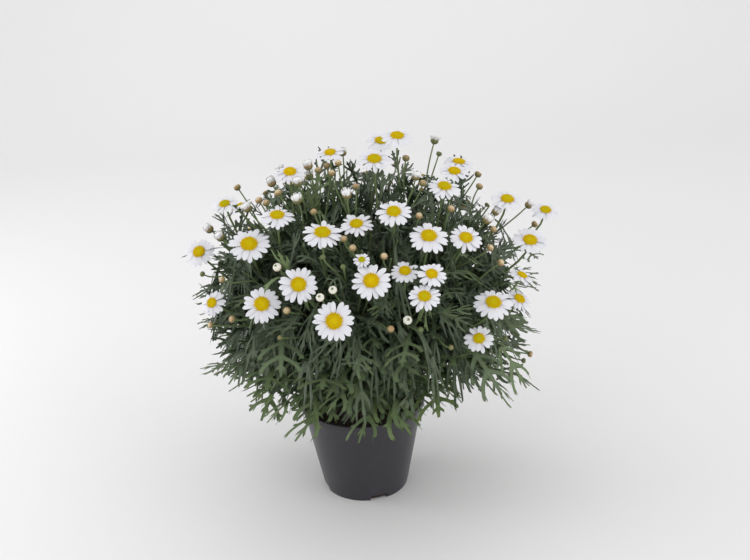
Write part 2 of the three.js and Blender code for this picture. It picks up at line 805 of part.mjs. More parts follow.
// The heads and buds, each with its branch
const domePoint = (bearing, z) => {
  const [cx, cy, cz] = DOME.centre;
  const [rx, ry, rz] = DOME.radii;
  const level = Math.sqrt(1 - ((z - cz) / rz) ** 2);
  const out = facing(bearing);
  return vec(cx + rx * level * out.x, cy + ry * level * out.y, z);
};
const ownBranch = (short) => BRANCHES.find((branch) => branch.name === `branch_${short}`);
const heads = [
  ...HEADS.map(([short, x, y, z, diameter, bearing, elevation, build]) => ({
    branch: ownBranch(short),
    foot: vec(x, y, z),
    normal: facing(bearing, elevation),
    diameter,
    pair: build === "pair",
  })),
  ...BACK_HEADS.map(([bearing, z, diameter]) => {
    const foot = domePoint(bearing, z);
    const normal = foot.clone().sub(vec(...DOME.faceFrom)).normalize();
    return { branch: ownBranch("back"), foot, normal, diameter, pair: false };
  }),
].map((head, i) => ({
  ...head,
  seed: i + 1,
  petals: head.pair ? BLOOM.petalsOfPair : BLOOM.petalsOfSingle,
  name: `bloom_${String(i + 1).padStart(2, "0")}`,
}));
const buds = BUDS.map(([short, x, y, z, kind]) => {
  const foot = vec(x, y, z);
  const normal = foot.clone().sub(vec(...BUD_AXIS_FROM)).normalize();
  return { branch: ownBranch(short), foot, normal, kind };
});

// Every piece that is placed, with its node's name and the shoot that it belongs to
const taken = [];
function take(owner, solid, shoot = null) {
  taken.push({ owner, shoot, solid, box: solid.boundingBox() });
}

const apart = (a, b) => [0, 1, 2].some((k) => a.min[k] > b.max[k] || b.min[k] > a.max[k]);

// Whether a leaf would cross a piece of another node or, if "strict", of another shoot of its own
function crosses(leaf, owner, shoot, strict) {
  const box = leaf.boundingBox();
  return taken.some((other) => {
    const related = other.owner === owner && (!strict || other.shoot === shoot || other.shoot === null);
    return !related && !apart(other.box, box) && !other.solid.intersect(leaf).isEmpty();
  });
}

// First turn of a leaf that crosses nothing, or else one that crosses only its own node
function fittingLeaf(slot, plan, owner, shoot) {
  for (const strict of [true, false]) {
    for (let attempt = 0; attempt < LEAF_PLACE.tries; attempt++) {
      const leaf = leafAt(slot, plan, attempt);
      const test = leafSolid(leaf, strict ? LEAF_PLACE.ownClearance : LEAF_PLACE.clearance);
      const isOut = coreShare(ribPoint(leaf, 1)) > LEAF_PLACE.tipShare;
      if (isOut && !crosses(test, owner, shoot, strict)) {
        return leaf;
      }
    }
  }
  return null;
}

const plant = new THREE.Group();

function addNode(name, solid, finish) {
  const mesh = new THREE.Mesh(geometryOf(solid), new THREE.MeshStandardMaterial({ ...finish, metalness: 0 }));
  mesh.name = name;
  plant.add(mesh);
}

// Pot, soil and woody base
const base = { pot: potSolid(), soil: soilSolid(), woody_base: woodySolid() };
const baseFinishes = { pot: FINISHES.pot, soil: FINISHES.soil, woody_base: FINISHES.wood };
for (const [name, solid] of Object.entries(base)) {
  take(name, solid);
  addNode(name, solid, baseFinishes[name]);
}

// Flower heads
for (const head of heads) {
  const rays = raysSolid(head, !head.pair);
  const raysName = head.pair ? `${head.name}_rays` : head.name;
  take(raysName, rays);
  addNode(raysName, rays, FINISHES.rays);
  if (head.pair) {
    const disc = discSolid(head);
    take(`${head.name}_disc`, disc);
    addNode(`${head.name}_disc`, disc, FINISHES.disc);
  }
}

// Branches without their leaves: the core, its collar, the stalks with their cups, and the buds
const grown = BRANCHES.map((branch) => {
  const fork = forkOf(branch);
  const core = coreSolid(branch);
  const collar = rod([fork.start, fork.end], [FORK.collarRadius, FORK.collarRadius], STUB.sides);
  const pieces = [core, collar];
  const shoots = [];
  const grow = (solid, shoot) => {
    take(branch.name, solid, shoot);
    pieces.push(solid);
  };
  take(branch.name, core);
  take(branch.name, collar);
  for (const head of heads.filter((one) => one.branch === branch)) {
    const top = head.foot.clone().addScaledVector(head.normal, -BLOOM.thickness - GAP);
    const cupFoot = top.clone().addScaledVector(head.normal, -CUP.depth);
    const curve = flowerCurve(fork, cupFoot, head.normal);
    const stalk = rootedStalk(curve, STALK, core, [[top, (head.diameter / 2) * CUP.share]]);
    grow(stalk.solid, head.seed);
    shoots.push({ stalk, plan: bloomPlan(head), seed: head.seed });
  }
  LEAFY_SHOOTS.forEach(([short, bearing, reach, z], i) => {
    if (ownBranch(short) === branch) {
      const seed = 100 + i;
      const stalk = rootedStalk(leafyCurve(bearing, reach, z), LEAFY_STALK, core);
      grow(stalk.solid, seed);
      shoots.push({ stalk, plan: skirtPlan(z), seed });
    }
  });
  buds.filter((bud) => bud.branch === branch).forEach((bud) => grow(budSolid(bud, shoots), "bud"));
  return { branch, pieces, shoots };
});

// Leaves, each turned until it stands clear, and each branch joined with all that it carries
for (const { branch, pieces, shoots } of grown) {
  for (const { stalk, plan, seed } of shoots) {
    for (const slot of leafSlots(stalk, plan, seed)) {
      const leaf = fittingLeaf(slot, plan, branch.name, seed);
      if (leaf) {
        const solid = leafSolid(leaf);
        take(branch.name, solid, seed);
        pieces.push(solid);
      }
    }
  }
  addNode(branch.name, oneBody(joined(pieces)), FINISHES.leaf);
}

export default plant;
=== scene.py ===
"""Dresses the potted marguerite daisy: rays, florets, cut leaves, buds, bark, peat and plastic pot.

Layout values are millimetres in the frame's axes, and MM turns them into metres. A bearing is an
angle in degrees round the pot's axis: 0 is the front, 90 is +X and 180 is the back.
"""

import logging
import math
from collections.abc import Sequence
from dataclasses import dataclass, field, replace
from enum import Enum

import bmesh
import bpy
import numpy as np
from bmesh.types import BMesh, BMFace, BMVert
from bpy.types import Material, Mesh
from mathutils import Matrix, Vector, kdtree, noise


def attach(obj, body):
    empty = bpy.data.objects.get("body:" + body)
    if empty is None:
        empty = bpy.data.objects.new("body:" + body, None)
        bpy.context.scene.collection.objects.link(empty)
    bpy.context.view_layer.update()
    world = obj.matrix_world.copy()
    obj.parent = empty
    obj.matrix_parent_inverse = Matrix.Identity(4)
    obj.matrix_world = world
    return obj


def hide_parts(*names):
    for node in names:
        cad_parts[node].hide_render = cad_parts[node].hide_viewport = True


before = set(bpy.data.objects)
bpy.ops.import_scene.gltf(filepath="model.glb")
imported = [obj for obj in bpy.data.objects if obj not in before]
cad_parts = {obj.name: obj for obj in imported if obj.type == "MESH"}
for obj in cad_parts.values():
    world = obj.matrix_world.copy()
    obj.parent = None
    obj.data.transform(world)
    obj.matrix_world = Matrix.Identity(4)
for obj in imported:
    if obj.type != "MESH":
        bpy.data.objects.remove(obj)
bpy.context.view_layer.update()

Array = np.ndarray
Colour = tuple[float, float, float]
Pair = tuple[float, float]
Place = tuple[float, float, float]
Row = tuple[BMVert, ...]

LOG = logging.getLogger("daisy")
MM = 0.001
UP = np.array([0.0, 0.0, 1.0])
MIDDLE = np.array([5.0, 0.0, 262.0])
GOLDEN_ANGLE = 137.5
ROOT = "root"


def unit(vector: Array) -> Array:
    """Returns the vector, or each row of it, at length 1."""
    return vector / np.linalg.norm(vector, axis=-1, keepdims=True)


def square_to(way: Array, vector: Array) -> Array:
    """Returns the unit vector square to a way that lies nearest to another vector."""
    return unit(vector - way * (way @ vector))


def bearing_way(bearing: float, elevation: float = 0.0) -> Array:
    """Returns the way of a bearing, raised by an elevation in degrees."""
    b, e = math.radians(bearing), math.radians(elevation)
    return np.array([math.sin(b) * math.cos(e), -math.cos(b) * math.cos(e), math.sin(e)])


def bearing_of(point: Array) -> float:
    """Returns the bearing of a point in degrees, from -180 to 180."""
    return math.degrees(math.atan2(point[0], -point[1]))


def fanned(angle: float, out: Array, across: Array, height: Array) -> Array:
    """Lays points out along an angle round Z.

    Args:
        angle: The angle, in radians.
        out: How far each point lies from the axis.
        across: How far it lies beside that line.
        height: Its height.

    Returns:
        The points.
    """
    cos, sin = math.cos(angle), math.sin(angle)
    return np.column_stack([out * cos + across * sin, out * sin - across * cos, height])


def wrapped(out: Array, swing: Array, height: Array) -> Array:
    """Returns points round Z, each at its own distance, angle and height."""
    return np.column_stack([out * np.cos(swing), out * np.sin(swing), height])


def ring_angles(ring: int, count: int) -> list[float]:
    """Returns the angles of a ring's parts; every second ring stands in the gaps of the others."""
    return [2 * math.pi * (i + 0.5 * (ring % 2)) / count for i in range(count)]


def of_kind(made: dict[str, list], kind: type) -> list:
    """Picks the vertices, edges or faces out of an operator's result."""
    return [item for item in made["geom"] if isinstance(item, kind)]


def to_mesh(name: str, bm: BMesh) -> Mesh:
    """Writes a finished bmesh, which is freed, to a new mesh.

    Args:
        name: The mesh's name.
        bm: The finished bmesh.

    Returns:
        The mesh.
    """
    mesh = bpy.data.meshes.new(name)
    bm.to_mesh(mesh)
    bm.free()
    return mesh


def link(name: str, data: bpy.types.ID) -> bpy.types.Object:
    """Makes an object of a mesh, a light or a camera.

    Args:
        name: The object's name.
        data: What it shows.

    Returns:
        The object, in the scene.
    """
    item = bpy.data.objects.new(name, data)
    bpy.context.scene.collection.objects.link(item)
    return item


class SeededRandom:
    """The frame's repeatable run of numbers between 0 and 1."""

    modulus = 2147483647
    factor = 48271

    def __init__(self, seed: int) -> None:
        """Starts the run that belongs to a seed."""
        self.state = (seed * 7919 + 104729) % self.modulus

    def __call__(self) -> float:
        """Returns the next number of the run."""
        self.state = (self.state * self.factor) % self.modulus
        return self.state / self.modulus

    def between(self, low: float, high: float) -> float:
        """Returns the next number, spread between two limits."""
        return low + (high - low) * self()

    def around(self, spread: float) -> float:
        """Returns the next number, spread evenly to both sides of 0."""
        return spread * (self() - 0.5)


@dataclass(frozen=True)
class Curve:
    """A smooth stalk's line through four control points."""

    a: Array
    b: Array
    c: Array
    d: Array

    def at(self, t: float | Array) -> Array:
        """Returns the point or points at shares of the curve."""
        t = np.asarray(t, float)[..., None]
        u = 1 - t
        return u**3 * self.a + 3 * u * u * t * self.b + 3 * u * t * t * self.c + t**3 * self.d

    def tangent(self, t: float | Array) -> Array:
        """Returns the unit tangent or tangents at shares of the curve."""
        t = np.asarray(t, float)[..., None]
        u = 1 - t
        first, second, third = self.b - self.a, self.c - self.b, self.d - self.c
        return unit(u * u * first + 2 * u * t * second + t * t * third)


# Shapes and clusters


@dataclass
class Shape:
    """A small closed mesh in a space of its own, which a cluster copies and bends to its place."""

    mesh: Mesh
    points: Array
    across: Array

    @classmethod
    def of(cls, name: str, bm: BMesh) -> "Shape":
        """Keeps a finished bmesh as a shape, with its faces outwards.

        Args:
            name: The mesh's name.
            bm: The finished shape, which is freed.

        Returns:
            The shape.
        """
        bmesh.ops.recalc_face_normals(bm, faces=bm.faces)
        if bm.calc_volume(signed=True) < 0:
            bmesh.ops.reverse_faces(bm, faces=bm.faces)
        mesh = to_mesh(name, bm)
        points = np.array([vert.co[:] for vert in mesh.vertices])
        return cls(mesh, points, points[:, 0])


def tube_shape(sides: int, steps: int) -> Shape:
    """Makes a round bar of radius 1 and height 1 with closed ends.

    Args:
        sides: Faces round it.
        steps: Stretches along it.

    Returns:
        The shape, which place_tube bends along a curve.
    """
    bm = bmesh.new()
    lift = Matrix.Translation((0, 0, 0.5))
    bmesh.ops.create_cone(bm, cap_ends=True, segments=sides, radius1=1, radius2=1, depth=1, matrix=lift)
    uprights = [e for e in bm.edges if abs(e.verts[0].co.z - e.verts[1].co.z) > 0.5]
    bmesh.ops.subdivide_edges(bm, edges=uprights, cuts=steps - 1)
    return Shape.of("tube", bm)


def place_tube(bar: Shape, curve: Curve, foot: float, tip: float) -> Array:
    """Bends a round bar along a curve.

    Args:
        bar: The bar of radius 1 and height 1.
        curve: The line of its middle.
        foot: Its radius at the start.
        tip: Its radius at the end.

    Returns:
        Where the bar's vertices go.
    """
    x, y, z = bar.points.T
    t = np.clip(z, 0, 1)
    tangent = curve.tangent(t)
    level = np.cross(curve.d - curve.a, UP)
    level = unit(level) if np.linalg.norm(level) > 1e-3 else np.array([1.0, 0, 0])
    side = unit(level - tangent * (tangent @ level)[:, None])
    other = np.cross(tangent, side)
    radius = foot + (tip - foot) * z
    return curve.at(t) + side * (x * radius)[:, None] + other * (y * radius)[:, None]


@dataclass
class Cluster:
    """Copies of shapes, each at its place, that become one piece of the plant."""

    name: str
    shapes: list[Shape] = field(default_factory=list)
    places: list[Array] = field(default_factory=list)
    marks: list[Array] = field(default_factory=list)

    def add(self, shape: Shape, places: Array, tone: float, along: Array | float | None = None) -> None:
        """Adds one copy of a shape.

        Args:
            shape: The shape to copy.
            places: Where its vertices go, in millimetres.
            tone: The copy's own shade, from 0 to 1, for its finish.
            along: How far along the copy each vertex lies, or None for the shape's own Y.
        """
        along = shape.points[:, 1] if along is None else along
        whole = np.ones(len(places))
        self.shapes.append(shape)
        self.places.append(places)
        self.marks.append(np.column_stack([whole * tone, whole * along, shape.across]))

    def add_stalk(self, bar: Shape, curve: Curve, radii: Pair, tone: float, along: Pair) -> None:
        """Adds a round stalk along a curve.

        Args:
            bar: The bar to bend.
            curve: The line of its middle.
            radii: Its radius at its foot and at its tip.
            tone: Its own shade.
            along: How far along the plant its foot and its tip lie, from 0 to 1.
        """
        foot, tip = along
        self.add(bar, place_tube(bar, curve, *radii), tone, foot + (tip - foot) * bar.points[:, 2])

    def build(self, material: Material, slot: str, nodes: Sequence[str]) -> None:
        """Joins the copies in one piece.

        Args:
            material: The finish of the whole piece.
            slot: The record's material slot.
            nodes: The frame's nodes that the piece stands for.
        """
        bm = bmesh.new()
        for shape in self.shapes:
            bm.from_mesh(shape.mesh)
        mesh = to_mesh(self.name, bm)
        places = np.concatenate(self.places) * MM
        mesh.vertices.foreach_set("co", places.astype(np.float32).ravel())
        marks = np.concatenate(self.marks).astype(np.float32)
        for mark, values in zip(("tone", "along", "across"), marks.T):
            layer = mesh.attributes.new(mark, "FLOAT", "POINT")
            layer.data.foreach_set("value", np.ascontiguousarray(values))
        finish_piece(self.name, mesh, material, slot, nodes)


def finish_piece(
    name: str, mesh: Mesh, material: Material, slot: str, nodes: Sequence[str], crease: float = 38.0
) -> None:
    """Makes a mesh one of the plant's pieces.

    Args:
        name: The piece's name.
        mesh: Its mesh, in metres, at its place.
        material: Its finish.
        slot: The record's material slot, which is not used.
        nodes: The frame's nodes that it stands for.
        crease: Degrees past which an edge stays sharp.
    """
    mesh.materials.append(material)
    mesh.shade_smooth()
    mesh.set_sharp_from_angle(angle=math.radians(crease))
    mesh.update()
    piece = link(name, mesh)
    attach(piece, ROOT)
    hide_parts(*nodes)
    LOG.info("%s: %d triangles", name, sum(len(p.vertices) - 2 for p in mesh.polygons))


# The skeleton that the frame's branches were grown by


@dataclass(frozen=True)
class Branch:
    """One main branch, which fills a wedge of the bush between two bearings."""

    name: str
    first: float
    last: float
    reach: float = 22.0
    height: float = 150.0
    rise: float = 55.0
    collar: float = 46.0

    def holds(self, bearing: float) -> bool:
        """Tells whether a bearing lies in the branch's wedge."""
        return self.first <= bearing < self.last or self.first <= bearing + 360 < self.last

    @property
    def middle(self) -> float:
        """The bearing halfway through the wedge."""
        return (self.first + self.last) / 2

    @property
    def way(self) -> Array:
        """The way that the branch's collar rises."""
        return bearing_way(self.middle, self.rise)

    @property
    def foot(self) -> Array:
        """Where the branch leaves its woody stub."""
        return bearing_way(self.middle) * self.reach + UP * self.height

    @property
    def fork(self) -> Array:
        """Where the branch's shoots leave it."""
        return self.foot + self.way * self.collar


BRANCHES = (
    Branch("branch_left", -112, -42),
    Branch("branch_front", -42, 14),
    Branch("branch_front_right", 14, 57),
    Branch("branch_right", 57, 126),
    Branch("branch_back", 126, 248),
)

# Leafy shoots without a flower: bearing, reach from the axis and height of the tip
LEAFY_SHOOTS = (
    (-102, 165, 205), (-80, 195, 265), (-68, 140, 190), (-52, 165, 225), (-34, 118, 207), (-18, 140, 228),
    (-4, 104, 210), (8, 140, 245), (22, 115, 205), (35, 150, 228), (50, 130, 207), (66, 175, 215),
    (82, 160, 185), (92, 190, 275), (112, 160, 205), (138, 150, 190), (155, 165, 235), (172, 140, 185),
    (-172, 165, 245), (-150, 145, 190), (-128, 165, 220),
)


def branch_at(bearing: float) -> Branch:
    """Returns the branch whose wedge holds a bearing."""
    return next(b for b in BRANCHES if b.holds(bearing))


@dataclass(frozen=True)
class Core:
    """The dense middle of the bush."""

    centre: Array = field(default_factory=lambda: np.array([6.0, 0, 262]))
    radii: Array = field(default_factory=lambda: np.array([104.0, 94, 92]))

    def left_at(self, curve: Curve, level: float) -> float:
        """Finds where a curve passes a level of the core for the last time.

        Args:
            curve: The curve.
            level: The level, where 1 is the core's surface.

        Returns:
            The share of the curve.
        """
        spots = np.arange(51) / 50
        levels = np.linalg.norm((curve.at(spots) - self.centre) / self.radii, axis=-1)
        inside = spots[levels < level]
        return float(inside[-1]) if len(inside) else 0.0


CORE = Core()


@dataclass(frozen=True)
class LeafPlan:
    """How a shoot carries its leaves: between which shares of it, how many and how they lie."""

    first: float
    last: float
    count: int
    length: float
    spread: float
    droop: float
    pairs: int = 2


@dataclass(frozen=True)
class Pose:
    """Where a leaf grows and how it lies."""

    root: Array
    way: Array
    normal: Array
    length: float
    droop: float
    pairs: int = 2
    twist: float = 0.0
    bend: float = 0.0

    @property
    def tip(self) -> Array:
        """The end of the leaf's midrib."""
        return self.root + self.way * self.length - UP * self.droop * self.length

    def place(self, shape: Shape) -> Array:
        """Bends a flat leaf to this pose.

        Args:
            shape: A leaf of length 1 in its own plane.

        Returns:
            Where the leaf's vertices go.
        """
        x, y, z = shape.points.T
        x = x + self.bend * y**2
        side = np.cross(self.way, self.normal)
        turn = self.twist * y
        across = side * np.cos(turn)[:, None] + self.normal * np.sin(turn)[:, None]
        sag = self.droop * (y**2 + 0.5 * np.abs(x))
        along = self.way * y[:, None] + across * x[:, None] + self.normal * z[:, None]
        return self.root + (along - UP * sag[:, None]) * self.length


@dataclass(frozen=True)
class Slot:
    """A place for a leaf on a shoot of the frame."""

    root: Array
    along: Array
    outward: Array
    turn: float
    sway: Place
    swing_step: float = 0.42
    shorter_after: int = 5

    def pose(self, plan: LeafPlan, attempt: int) -> Pose:
        """Turns a leaf in its slot, by the frame's own rule.

        Args:
            plan: How the shoot carries its leaves.
            attempt: How often the leaf was turned on to stand clear.

        Returns:
            The leaf's pose.
        """
        swing = self.turn + (-1 if attempt % 2 else 1) * math.ceil(attempt / 2) * self.swing_step
        radial = self.outward * math.cos(swing) + np.cross(self.along, self.outward) * math.sin(swing)
        spread = math.radians(plan.spread + 14 * (self.sway[0] - 0.5))
        way = unit(self.along * math.cos(spread) + radial * math.sin(spread))
        length = plan.length * (0.85 + 0.3 * self.sway[1]) * (0.75 if attempt > self.shorter_after else 1)
        droop = plan.droop * (0.7 + 0.6 * self.sway[2])
        normal = square_to(way, UP + radial * 0.35)
        return Pose(self.root - way * 0.1, way, normal, length, droop, plan.pairs)


@dataclass
class Shoot:
    """A stalk of the frame, with the leaves that it carries there."""

    curve: Curve
    plan: LeafPlan
    seed: int
    steps: int = 3
    root_levels: tuple[float, ...] = (0.8, 0.7, 0.6, 0.5, 0.35, 0)
    first_level: float = 1.1
    turns: int = 12
    tolerance: float = 0.4
    heart: Place = (6.0, 0.0, 225.0)

    def on_stalk(self, share: float, start: float) -> Array:
        """Finds a point on the frame's stalk, which is made of straight stretches.

        Args:
            share: The share of the curve.
            start: The share at which the stalk starts.

        Returns:
            The point.
        """
        place = min(max((share - start) / (1 - start) * self.steps, 0), self.steps - 1e-6)
        before = int(place)
        knots = self.curve.at(start + (1 - start) * np.array([before, before + 1]) / self.steps)
        return knots[0] + (knots[1] - knots[0]) * (place - before)

    def slots(self, start: float) -> list[Slot]:
        """Finds the places for the leaves.

        Args:
            start: The share of the curve at which the frame's stalk starts.

        Returns:
            One slot for each leaf of the plan.
        """
        random = SeededRandom(self.seed)
        first = max(self.plan.first, CORE.left_at(self.curve, self.first_level))
        found = []
        for i in range(self.plan.count):
            t = first + (self.plan.last - first) * (i + 0.5 * random()) / self.plan.count
            root = self.on_stalk(t, start)
            along = self.curve.tangent(t)
            outward = square_to(along, root - self.heart)
            turn = math.radians(((i * GOLDEN_ANGLE + self.seed * 61) % 220 - 110) * 0.9)
            found.append(Slot(root, along, outward, turn, (random(), random(), random())))
        return found

    def frame_leaves(self, tree: kdtree.KDTree) -> list[Pose]:
        """Finds how each leaf was turned, from the tips that the frame's branch has.

        Args:
            tree: The vertices of the branch's node, in millimetres.

        Returns:
            The poses of the leaves that the frame has.
        """
        best: list[Pose] = []
        for level in self.root_levels:
            poses = []
            for slot in self.slots(CORE.left_at(self.curve, level)):
                tries = (slot.pose(self.plan, k) for k in range(self.turns))
                fits = [p for p in tries if tree.find(p.tip)[2] < self.tolerance]
                poses.extend(fits[:1])
            if len(poses) > len(best):
                best = poses
        return best


def flower_curve(branch: Branch, tip: Array, arrival: Array) -> Curve:
    """Draws a flower's stalk, which comes up to the head along the head's own axis.

    Args:
        branch: The branch that it leaves.
        tip: The foot of the cup under the head.
        arrival: The way that the head faces.

    Returns:
        The stalk's curve.
    """
    fork = branch.fork
    span = float(np.linalg.norm(tip - fork))
    rise = fork + branch.way * span * 0.22 + UP * span * 0.12
    return Curve(fork, rise, tip - arrival * min(span * 0.36, 65), tip)


def leafy_curve(
    bearing: float, reach: float, z: float, side: float = 52, low: float = 215, handle: float = 42
) -> Curve:
    """Draws a leafy shoot, which grows out of the core's side and hangs over.

    Args:
        bearing: Its bearing.
        reach: Its tip's distance from the axis.
        z: Its tip's height.
        side: How far from the axis it starts.
        low: The least height that it starts at.
        handle: How far its ends keep their way.

    Returns:
        The shoot's curve.
    """
    out = bearing_way(bearing)
    root = out * side + UP * max(z + 10, low)
    tip = out * reach + UP * z
    return Curve(root, root + out * handle + UP * handle * 0.3, tip - out * handle + UP * handle * 0.1, tip)


# Leaves


@dataclass(frozen=True)
class LeafCut:
    """How a leaf is cut into lobes and teeth, in shares of its length.

    stops are the shares of a lobe at which it bends, and teeth says which of these bear a tooth: a
    positive number on the lobe's one side, a negative one on its other.
    """

    pairs: int
    petiole: float
    stops: tuple[float, ...]
    teeth: tuple[int, ...]
    seed: int
    reach: float
    lobe_half: float
    rib_half: float
    tooth: float = 0.05
    last: float = 0.84
    fold: float = 0.006
    depth: float = 0.009


@dataclass
class LeafGrower:
    """Grows a flat leaf of length 1 along Y, lobe by lobe, and gives it two faces."""

    cut: LeafCut
    foot_half: float = 0.013
    lobe_feet: tuple[float, ...] = (0.3, 0.48, 0.66)
    tip_step: float = 0.055
    left_share: float = 0.93
    bow: float = -0.1

    def __post_init__(self) -> None:
        """Starts the mesh and the leaf's own run of numbers."""
        self.bm = bmesh.new()
        self.random = SeededRandom(self.cut.seed)

    def grow(self) -> Shape:
        """Grows the leaf from its foot.

        Returns:
            The leaf, whose across marks are 1 on the sunken midrib.
        """
        cut = self.cut
        row: Row = tuple(self.bm.verts.new((x * self.foot_half, 0, 0)) for x in (-1, 0, 1))
        self.bm.edges.new(row[:2])
        self.bm.edges.new(row[1:])
        row = self._rib(row, cut.petiole * 0.6, cut.rib_half * 0.68)
        row = self._rib(row, cut.petiole, cut.rib_half * 0.9)
        bounds = [cut.petiole + (cut.last - cut.petiole) * i / cut.pairs for i in range(cut.pairs + 1)]
        lobes: list[tuple[int, Row, float, float]] = []
        for start, end in zip(bounds, bounds[1:]):
            rows = []
            for share in self.lobe_feet:
                y = start + (end - start) * (share + self.random.around(0.08))
                row = self._rib(row, y, cut.rib_half * (1.15 - 0.4 * y))
                rows.append(row)
            for side, edge in ((1, 2), (-1, 0)):
                lobes.append((side, tuple(r[edge] for r in rows), start, end))
        neck = self._rib(row, cut.last - 0.01, cut.lobe_half)
        row = self._rib(neck, cut.last + self.tip_step, cut.lobe_half)
        self._tooth(neck[2], row[2], Vector((0.72, 0.7, 0)))
        self._tooth(neck[0], row[0], Vector((-0.72, 0.7, 0)))
        self._rib(row, 1.0, cut.lobe_half * 0.62)
        for lobe in lobes:
            self._lobe(*lobe)
        self._two_faces()
        leaf = Shape.of("leaf", self.bm)
        leaf.across = (leaf.points[:, 2] < -0.5 * cut.fold).astype(float)
        return leaf

    def _extend(self, row: Row, centre: Vector, half: Vector) -> Row:
        """Extrudes a row of three vertices to a new place.

        Args:
            row: The row that grows on.
            centre: Where the new row's middle goes.
            half: From its middle to its last vertex.

        Returns:
            The new row.
        """
        edges = [self.bm.edges.get(row[:2]), self.bm.edges.get(row[1:])]
        new = of_kind(bmesh.ops.extrude_edge_only(self.bm, edges=edges), BMVert)
        grown = tuple(min(new, key=lambda v, old=old: (v.co - old.co).length) for old in row)
        for vert, place in zip(grown, (centre - half, centre, centre + half)):
            vert.co = place
        return grown

    def _rib(self, row: Row, y: float, half: float) -> Row:
        """Grows the midrib's strip on to a height."""
        return self._extend(row, Vector((0, y, 0)), Vector((half, 0, 0)))

    def _lobe(self, side: int, base: Row, start: float, end: float) -> None:
        """Grows one side lobe, with its teeth.

        Args:
            side: 1 on the right and -1 on the left.
            base: The midrib's edge that it grows from.
            start: Where its stretch of the midrib starts.
            end: Where that stretch ends.
        """
        cut = self.cut
        reach = cut.reach * (1.05 - 0.6 * abs(start - 0.4)) * (1 if side > 0 else self.left_share)
        foot = base[1].co.copy()
        rise = min((end - start) * (1.0 if side > 0 else 0.75), 0.97 - foot.y)
        tip = foot + Vector((side * reach, rise + self.random.around(0.05), 0))
        way = (tip - foot).normalized()
        out = Vector((-way.y, way.x, 0)) * side
        length = (tip - foot).length
        row = base
        for k, stop in enumerate((*cut.stops, 1.0)):
            half = cut.lobe_half * (1.0 if stop < 1 else 0.6)
            bow = out * length * self.bow * math.sin(math.pi * stop)
            before = row
            row = self._extend(row, foot + way * length * stop + bow, out * half)
            if k in cut.teeth:
                self._tooth(before[0], row[0], (way * 1.1 - out).normalized())
            if k and -k in cut.teeth:
                self._tooth(before[2], row[2], (way * 1.1 + out).normalized())

    def _tooth(self, near: BMVert, far: BMVert, way: Vector) -> None:
        """Grows a blunt tooth out of an edge.

        Args:
            near: The edge's vertex nearer to the midrib.
            far: Its other vertex.
            way: The way that the tooth points.
        """
        edge = self.bm.edges.get((near, far))
        new = of_kind(bmesh.ops.extrude_edge_only(self.bm, edges=[edge]), BMVert)
        length = self.cut.tooth * self.random.between(0.75, 1.3)
        middle = near.co.lerp(far.co, 0.55)
        for vert in new:
            vert.co = middle + (vert.co - middle) * 0.66 + way * length
        bmesh.ops.dissolve_edges(self.bm, edges=[edge], use_verts=False)

    def _two_faces(self) -> None:
        """Gives the flat leaf an upper face with a fold and an under face with a keel."""
        bm = self.bm
        inner = [v for v in bm.verts if not v.is_boundary]
        twin = bmesh.ops.duplicate(bm, geom=bm.verts[:] + bm.edges[:] + bm.faces[:])
        bmesh.ops.reverse_faces(bm, faces=of_kind(twin, BMFace))
        for vert in inner:
            twin["vert_map"][vert].co.z -= self.cut.fold + self.cut.depth
            vert.co.z -= self.cut.fold
        bmesh.ops.remove_doubles(bm, verts=bm.verts, dist=1e-6)


class LeafKind(Enum):
    """The leaf cuts, by where they grow."""

    BROAD_TWO = LeafCut(2, 0.34, (0.3, 0.5, 0.64, 0.78, 0.9), (2, -4), 1, 0.28, 0.03, 0.042, 0.06)
    BROAD_THREE = LeafCut(3, 0.3, (0.34, 0.58, 0.74, 0.9), (-2, 3), 2, 0.24, 0.027, 0.04)
    CROWN = LeafCut(2, 0.36, (0.5,), (), 3, 0.16, 0.034, 0.05)
    CROWN_SLIM = LeafCut(1, 0.46, (0.5,), (), 4, 0.13, 0.036, 0.054)
    FLANK = LeafCut(2, 0.36, (0.4, 0.64, 0.82), (2,), 5, 0.25, 0.033, 0.046)
    SKIRT = LeafCut(2, 0.36, (0.34, 0.58, 0.74, 0.9), (-2, 3), 6, 0.27, 0.031, 0.044)
    INNER = LeafCut(2, 0.16, (), (), 7, 0.3, 0.07, 0.085, 0.04)


# Flower heads


@dataclass(frozen=True)
class Head:
    """A flower head's place, read from its node of the frame.

    valley_share is how far out the valleys between the frame's rays lie, in shares of the radius.
    """

    name: str
    number: int
    foot: Array
    normal: Array
    radius: float
    nodes: tuple[str, ...]
    valley_share: float = 0.41

    @classmethod
    def read(cls, name: str, nodes: Sequence[str]) -> "Head":
        """Measures a head on its node.

        Args:
            name: The head's name.
            nodes: Its nodes, the one with the rays first.

        Returns:
            The head.
        """
        bm = bmesh.new()
        bm.from_mesh(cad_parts[nodes[0]].data)
        bmesh.ops.remove_doubles(bm, verts=bm.verts, dist=2e-6)
        hub = max(bm.verts, key=lambda v: len(v.link_edges))
        spokes = sorted((e.other_vert(hub).co - hub.co for e in hub.link_edges), key=lambda s: s.length)
        ring = spokes[: len(spokes) // 2]
        middle = sum(ring, Vector()) / len(ring)
        valley = sum((spoke - middle).length for spoke in ring) / len(ring)
        foot = np.array(hub.co + middle) / MM
        bm.free()
        radius = valley / MM / cls.valley_share
        return cls(name, int(name[-2:]), foot, np.array(middle.normalized()), radius, tuple(nodes))

    def place(self, points: Array) -> Array:
        """Moves points from the head's own space, where Z is its axis, to the plant.

        Args:
            points: The points.

        Returns:
            Where they go.
        """
        side = unit(np.cross(UP + bearing_way(30) * 0.3, self.normal))
        other = np.cross(self.normal, side)
        return self.foot + points[:, :1] * side + points[:, 1:2] * other + points[:, 2:] * self.normal


